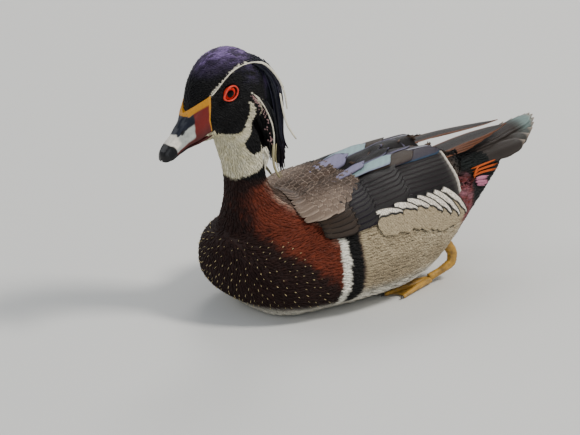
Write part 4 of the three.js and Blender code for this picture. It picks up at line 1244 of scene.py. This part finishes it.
shapedGrid("crest_core", 36, 40, crestPlace, "skin", crestTint)

# The core lies under long hair-like locks. A fringe fills the room between the neck and the mane.
crestPlan = {"locks": 600, "fringe": 260, "half": 1.05, "stray": (0.25, 0.15, 0.1), "thick": 0.35}


# Each gives the lock's way over the head, where it begins and ends on that way, and its outward direction. a runs
# across the head and depth from the surface to the inside.
def maneLock(a, depth):
    drop = -60 - 23 * (1 - abs(a)) * seed.uniform(0.5, 1) + seed.normal() * 2
    route = [
        (a * 12, -17, 27.5 - 6 * a * a),
        (a * 14.4, -36 - 5 * depth + 6 * a * a, 12.5 - 2 * a * a),
        (a * 14, -43.5 - 10 * depth + 9.5 * a * a, -8),
        (a * 12.4, -45.5 - 8.5 * depth + 8.5 * a * a, -26),
        (a * 9.4, -45 - 5 * depth + 6 * a * a, -50),
        (a * 4.5 + seed.normal(), -46 - 2.5 * depth + seed.normal(), drop),
    ]
    begin, end = seed.uniform(0, 0.5), 1.0 if seed.random() < 0.55 else seed.uniform(0.6, 0.95)
    return route, begin, end, (a * 1.1, -1.0, 0.35)


def fringeLock(a):
    a = math.copysign(seed.uniform(0.45, 1), a)
    back = seed.uniform(0, 9)
    route = [
        (a * 16.6, -21 - 0.4 * back, -7),
        (a * 15.8, -26.5 - 0.6 * back, -18),
        (a * 13.2, -30 - 0.8 * back, -29),
        (a * 10.8, -32 - 0.9 * back, -42),
        (a * 8.6, -33 - 0.9 * back, -53),
        (a * 6, -34.5 - 0.9 * back, -66 + 3 * seed.normal()),
    ]
    return route, seed.uniform(0, 0.4), seed.uniform(0.72, 1.0), (a * 1.3, -0.4, 0.1)


# Locks darken at their tips towards a brown taken from the breast's painted shade tint; on the locks it is their own
# colour.
def lockTint(hue):
    return lambda s, t: blend(hue, tints["breastShadeBrown"] * 2.5, 0.5 * ease(0.8, 1.0, t))


def crestLocks():
    blades = []
    for number in range(crestPlan["locks"] + crestPlan["fringe"]):
        a, depth = seed.uniform(-1, 1), seed.uniform(0, 1) ** 0.6
        route, begin, end, out = maneLock(a, depth) if number < crestPlan["locks"] else fringeLock(a)
        tint = lockTint(crestTint(fromHead(route[2:3]))[0] * (1 + 0.25 * seed.normal()))
        half = crestPlan["half"] * seed.uniform(0.6, 1.3)
        path = alongPath(route, np.linspace(begin, end, 7)) + seed.normal(size=(1, 3)) * crestPlan["stray"]
        out = turnFromHead([out] * 7)
        blades.append(blade(fromHead(path), out, half, tint, "pointed", 0.2, crestPlan["thick"]))
    return blades


bladeGrid.update(columns=2, rows=8)
bladePiece("crest_locks", crestLocks(), unwrapHead, "head", "crest")

# White plumes, as (across, ahead, up) on the left side: the brow line that runs on over the crest, the rear line
# down its front edge, a collar below it and one loose plume behind.
plumeLines = {
    "brow": [(12.3, 17.5, 7.6), (13.2, 13.7, 10.1), (14.0, 5.0, 16.8), (14.6, -3.3, 20.2), (14.6, -11.8, 20.9),
             (14.5, -21, 19.6), (14.9, -27.8, 17.8), (15.1, -33, 13.1), (15.3, -38.2, 6.4), (15.2, -43.2, -2.4),
             (14.8, -47, -12), (13.8, -48.4, -21.7), (12.8, -48.7, -30)],
    "rear": [(18.0, -15.5, -2.4), (17.9, -21.3, -9.4), (17.0, -26.4, -17.7), (15, -30.8, -27.6), (13, -33.8, -37),
             (11.5, -34.8, -46.3), (9.8, -34.6, -55.4), (8, -33.8, -64.4), (6, -36, -74), (4, -41.3, -84)],
    "collar": [(11.8, -24.4, -50), (10.8, -27.2, -55.5), (10, -27, -60.5), (9, -25, -65.5), (8, -22.8, -70)],
    "loose": [(14.6, -43, -14.6), (13.6, -44.6, -26.6), (11.8, -47, -38.7), (9, -52.8, -49.5), (6.6, -58.8, -58.9)],
}
# long is a plume's share of the line. The last row is the pinkish specks in front of the rear line.
plumePlan = [
    {"line": "brow", "count": 130, "long": 0.09, "half": 0.34, "wander": 0.12, "tint": "white"},
    {"line": "brow", "count": 26, "long": 0.34, "half": 0.5, "wander": 0.22, "tint": "white", "from": 0.44},
    {"line": "rear", "count": 100, "long": 0.12, "half": 0.32, "wander": 0.14, "tint": "white"},
    {"line": "rear", "count": 14, "long": 0.36, "half": 0.4, "wander": 0.7, "tint": "throatShade", "from": 0.62},
    {"line": "loose", "count": 5, "long": 1.0, "half": 0.75, "wander": 0.2, "tint": "white"},
    {"line": "collar", "count": 170, "long": 0.4, "half": 0.6, "wander": 0.8, "tint": "white"},
    {"line": "rear", "count": 44, "long": 0.016, "half": 0.36, "wander": 0.9, "tint": "speckled", "ahead": 2.8,
     "to": 0.62},
]


def whitePlume(plan, line, side):
    low, high = plan.get("from", 0), plan.get("to", 1)
    begin = low + seed.random() * max(0.0, high - low - plan["long"])
    path = alongPath(line, np.linspace(begin, begin + plan["long"], 7))
    path = (path + seed.normal(size=(1, 3)) * plan["wander"] * (0.5, 1, 1)) * (side, 1, 1)
    # over the head a plume lies on the skin, behind it it hangs free
    onHead = ease(-34, -16, path[:, 1])
    onSkin, normals = nearestOnSkin(fromHead(path))
    path = blend(fromHead(path), onSkin + normals * 0.75, onHead)
    out = unit(blend(turnFromHead([(side, -0.5, 0.2)] * 7), normals, onHead))
    tint = plainTint(tints[plan["tint"]] * (0.85 + 0.25 * seed.random()))
    return blade(path, out, plan["half"] * seed.uniform(0.7, 1.2), tint, "pointed", 0.2, 0.3)


plumes = []
for plan in plumePlan:
    line = np.array(plumeLines[plan["line"]], float) + (0, plan.get("ahead", 0), 0)
    plumes += [whitePlume(plan, line, side) for side in sides.values() for _ in range(plan["count"])]
bladePiece("white_plumes", plumes, unwrapHead, "head")
print("crest is made")

# Flank plumes: each feather's rounded tip ends in an arc between two places on the flank, given as
# (station, angle), the upper one first. Length and how far the tip swells beyond the arc's ends follow.
bladeGrid.update(columns=26, rows=40, crowd=1.7)
plumeArcs = [
    ((70, 55.5), (92, 81), 26, 3.6), ((61, 56.5), (83, 81), 26, 3.6), ((52.5, 57.5), (74, 77), 24, 3.6),
    ((43, 58), (65, 73), 24, 3.4), ((33, 59), (54, 69), 22, 3.2), ((21, 60.5), (41, 66.5), 22, 3),
    ((4, 63), (27, 66), 20, 3),
]
plumeLift = {"root": 0.9, "tip": 3.3}


# Paint for a flank plume: buff, then a thin black line, a white band along the rounded tip and a black edge.
def bandedTint(half, swell, length):
    def tint(s, t):
        across = np.clip(s * profile(bladeShapes["fan"], t), -0.97, 0.97)
        rim = np.sqrt(1 - across ** 2)
        # distance from the tip's curve, measured along the axis and corrected by the curve's slope
        inward = (swell * rim - (t - 1) * length - swell) / np.hypot(1, swell * across / (half * rim))
        band = np.interp(s, [-1, -0.6, 0.2, 1], [1.6, 3.2, 4.8, 5.2]) + 0.3 * np.sin(s * 9 + half)
        out = blend(tints["buff"] * 0.95, tints["barBlack"], 1 - ease(band + 1.5, band + 1.8, inward))
        out = blend(out, tints["bandWhite"], 1 - ease(band - 0.1, band + 0.2, inward))
        beside = half * (1 - np.abs(s)) + 0.3 + 9 * (1 - ease(0.6, 0.75, t))
        return blend(out, tints["barBlack"], 1 - ease(0.9, 1.2, np.minimum(inward, beside)))
    return tint


def flankBlades(side):
    blades = []
    for first, second, length, swell in plumeArcs:
        high, low = flatPlace(*first), flatPlace(*second)
        chord = low - high
        half = np.linalg.norm(chord) / 2
        axis = np.array((chord[1], -chord[0])) / (2 * half)
        ends = []
        for reach, which in ((swell - length, "root"), (swell, "tip")):
            y, arc = (high + low) / 2 + axis * reach
            ends.append((y, math.degrees(arc / flatRadius), plumeLift[which]))
        blades.append(draped(*ends, side, half, bandedTint(half, swell, length), "fan", 0.02))
    return blades


bladePair("flank_plumes_", flankBlades, "flank", "flank_")

# Rump plumes: a few thin orange strands one above another, and a mauve tuft under them.
strandPlan = [
    {"levels": [82, 77.5, 74], "from": 112, "long": 27, "half": 0.55, "each": 3, "fall": 6, "tint": "orange"},
    {"levels": [69, 66, 63.5], "from": 114, "long": 11, "half": 0.8, "each": 5, "fall": 3, "tint": "mauve"},
]
rumpHalf = [(100, 36), (125, 27), (140, 21)]


def rumpStrand(plan, level, side):
    y = plan["from"] + 4 * seed.random()
    z = level + 0.35 * seed.normal()
    steps = np.linspace(0, 1, 5)
    y = y + plan["long"] * seed.uniform(0.75, 1.05) * steps
    places, normals = nearestOnSkin(np.stack([side * profile(rumpHalf, y), y, z - plan["fall"] * steps], axis=1))
    places = places + normals * (1.2 + 1.6 * steps[:, None])
    tint = plainTint(tints[plan["tint"]] * seed.uniform(0.8, 1.15))
    return blade(places, normals, plan["half"] * seed.uniform(0.6, 1.2), tint, "pointed", 0.1)


bladeGrid.update(columns=2, rows=8)
strands = [rumpStrand(plan, level, side) for side in sides.values() for plan in strandPlan
           for level in plan["levels"] for _ in range(plan["each"])]
bladePiece("rump_strands", strands, unwrapTrunk, "soft")


# Feet: three toes as (turn, length) from the heel, webs between them, and the shank folded up into the belly.
footPlan = {
    "heel": (36, 66, 3.2), "toes": [(-14, 34), (4, 44), (22, 38)], "toeRadii": [2.6, 2.1, 1.3], "tipDrop": 1.6,
    "clawRadii": [1.0, 0.7, 0.15], "claw": 3.2,
    "shank": [(36, 64, 4.6), (37, 74, 8), (37.5, 84, 12.5), (36, 86, 20), (33, 78, 32)],
    "shankRadii": [2.8, 2.7, 3.4, 3.8, 4.6],
}


def tube(name, path, radii, finish, tint, around, rows, *nodes):
    def at(v):
        return alongPath(path, np.array([v]))[0]

    def place(u, v):
        ahead = unit(at(min(1, v + 0.02)) - at(max(0, v - 0.02)))
        side = unit(np.cross(ahead, (0.1, 0.2, 1)))
        radius = 0 if v in (0.0, 1.0) else np.interp(v, np.linspace(0, 1, len(path)), radii)
        reach = radius * (1 + 0.03 * math.sin(v * 90))
        x, y, z = at(v) + (side * math.cos(u * fullTurn) + np.cross(side, ahead) * math.sin(u * fullTurn)) * reach
        return x, y, max(z, 0.05)
    shapedGrid(name, around, rows, place, finish, tint, *nodes)


def footTint(points):
    return blend(tints["foot"], tints["web"], 0.35 + 0.35 * cloud(points, 2.2))


def webTint(points):
    return blend(tints["web"], tints["foot"], 0.25 + 0.2 * cloud(points, 3))


def clawTint(points):
    return np.tile(tints["claw"], (len(points), 1))


# A web runs out from the heel and back underneath, with a shallow bay between the toes.
def webBetween(heel, first, second):
    def place(u, v):
        bay = math.sin(u * math.pi)
        reach = (0.98 - 0.1 * bay) * (1 - abs(2 * v - 1))
        x, y = (heel + (first + (second - first) * u - heel) * reach)[:2]
        rim = u in (0.0, 1.0) or v in (0.0, 0.5, 1.0)
        return x, y, 1.6 - 0.5 * bay + (0 if rim else 0.5 if v < 0.5 else -0.5)
    return place


for sideName, side in sides.items():
    heel = np.array(footPlan["heel"]) * (side, 1, 1)
    tips = []
    for i, (turn, reach) in enumerate(footPlan["toes"]):
        angle = math.radians(turn) * side
        tip = heel + (math.sin(angle) * reach, -math.cos(angle) * reach, -footPlan["tipDrop"])
        tips.append(tip)
        path = [heel, heel + (tip - heel) * 0.5 + (0, 0, 0.6), tip]
        nodes = ["foot_" + sideName] if i == 2 else []
        tube(f"toe_{i}_{sideName}", path, footPlan["toeRadii"], "foot", footTint, 14, 28, *nodes)
        end = tip + unit(tip - heel) * footPlan["claw"] + (0, 0, -0.4)
        path = [tip + (0, 0, 0.3), (tip + end) / 2 + (0, 0, 0.4), end]
        tube(f"claw_{i}_{sideName}", path, footPlan["clawRadii"], "claw", clawTint, 10, 12)
    for i in (0, 1):
        shapedGrid(f"web_{i}_{sideName}", 14, 24, webBetween(heel, tips[i], tips[i + 1]), "foot", webTint)
    path = np.array(footPlan["shank"]) * (side, 1, 1)
    tube("shank_" + sideName, path, footPlan["shankRadii"], "foot", footTint, 16, 40, "leg_" + sideName)
print("feet are made")

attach(skin, "root")
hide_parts("head", "neck", "breast", "torso", "rump")
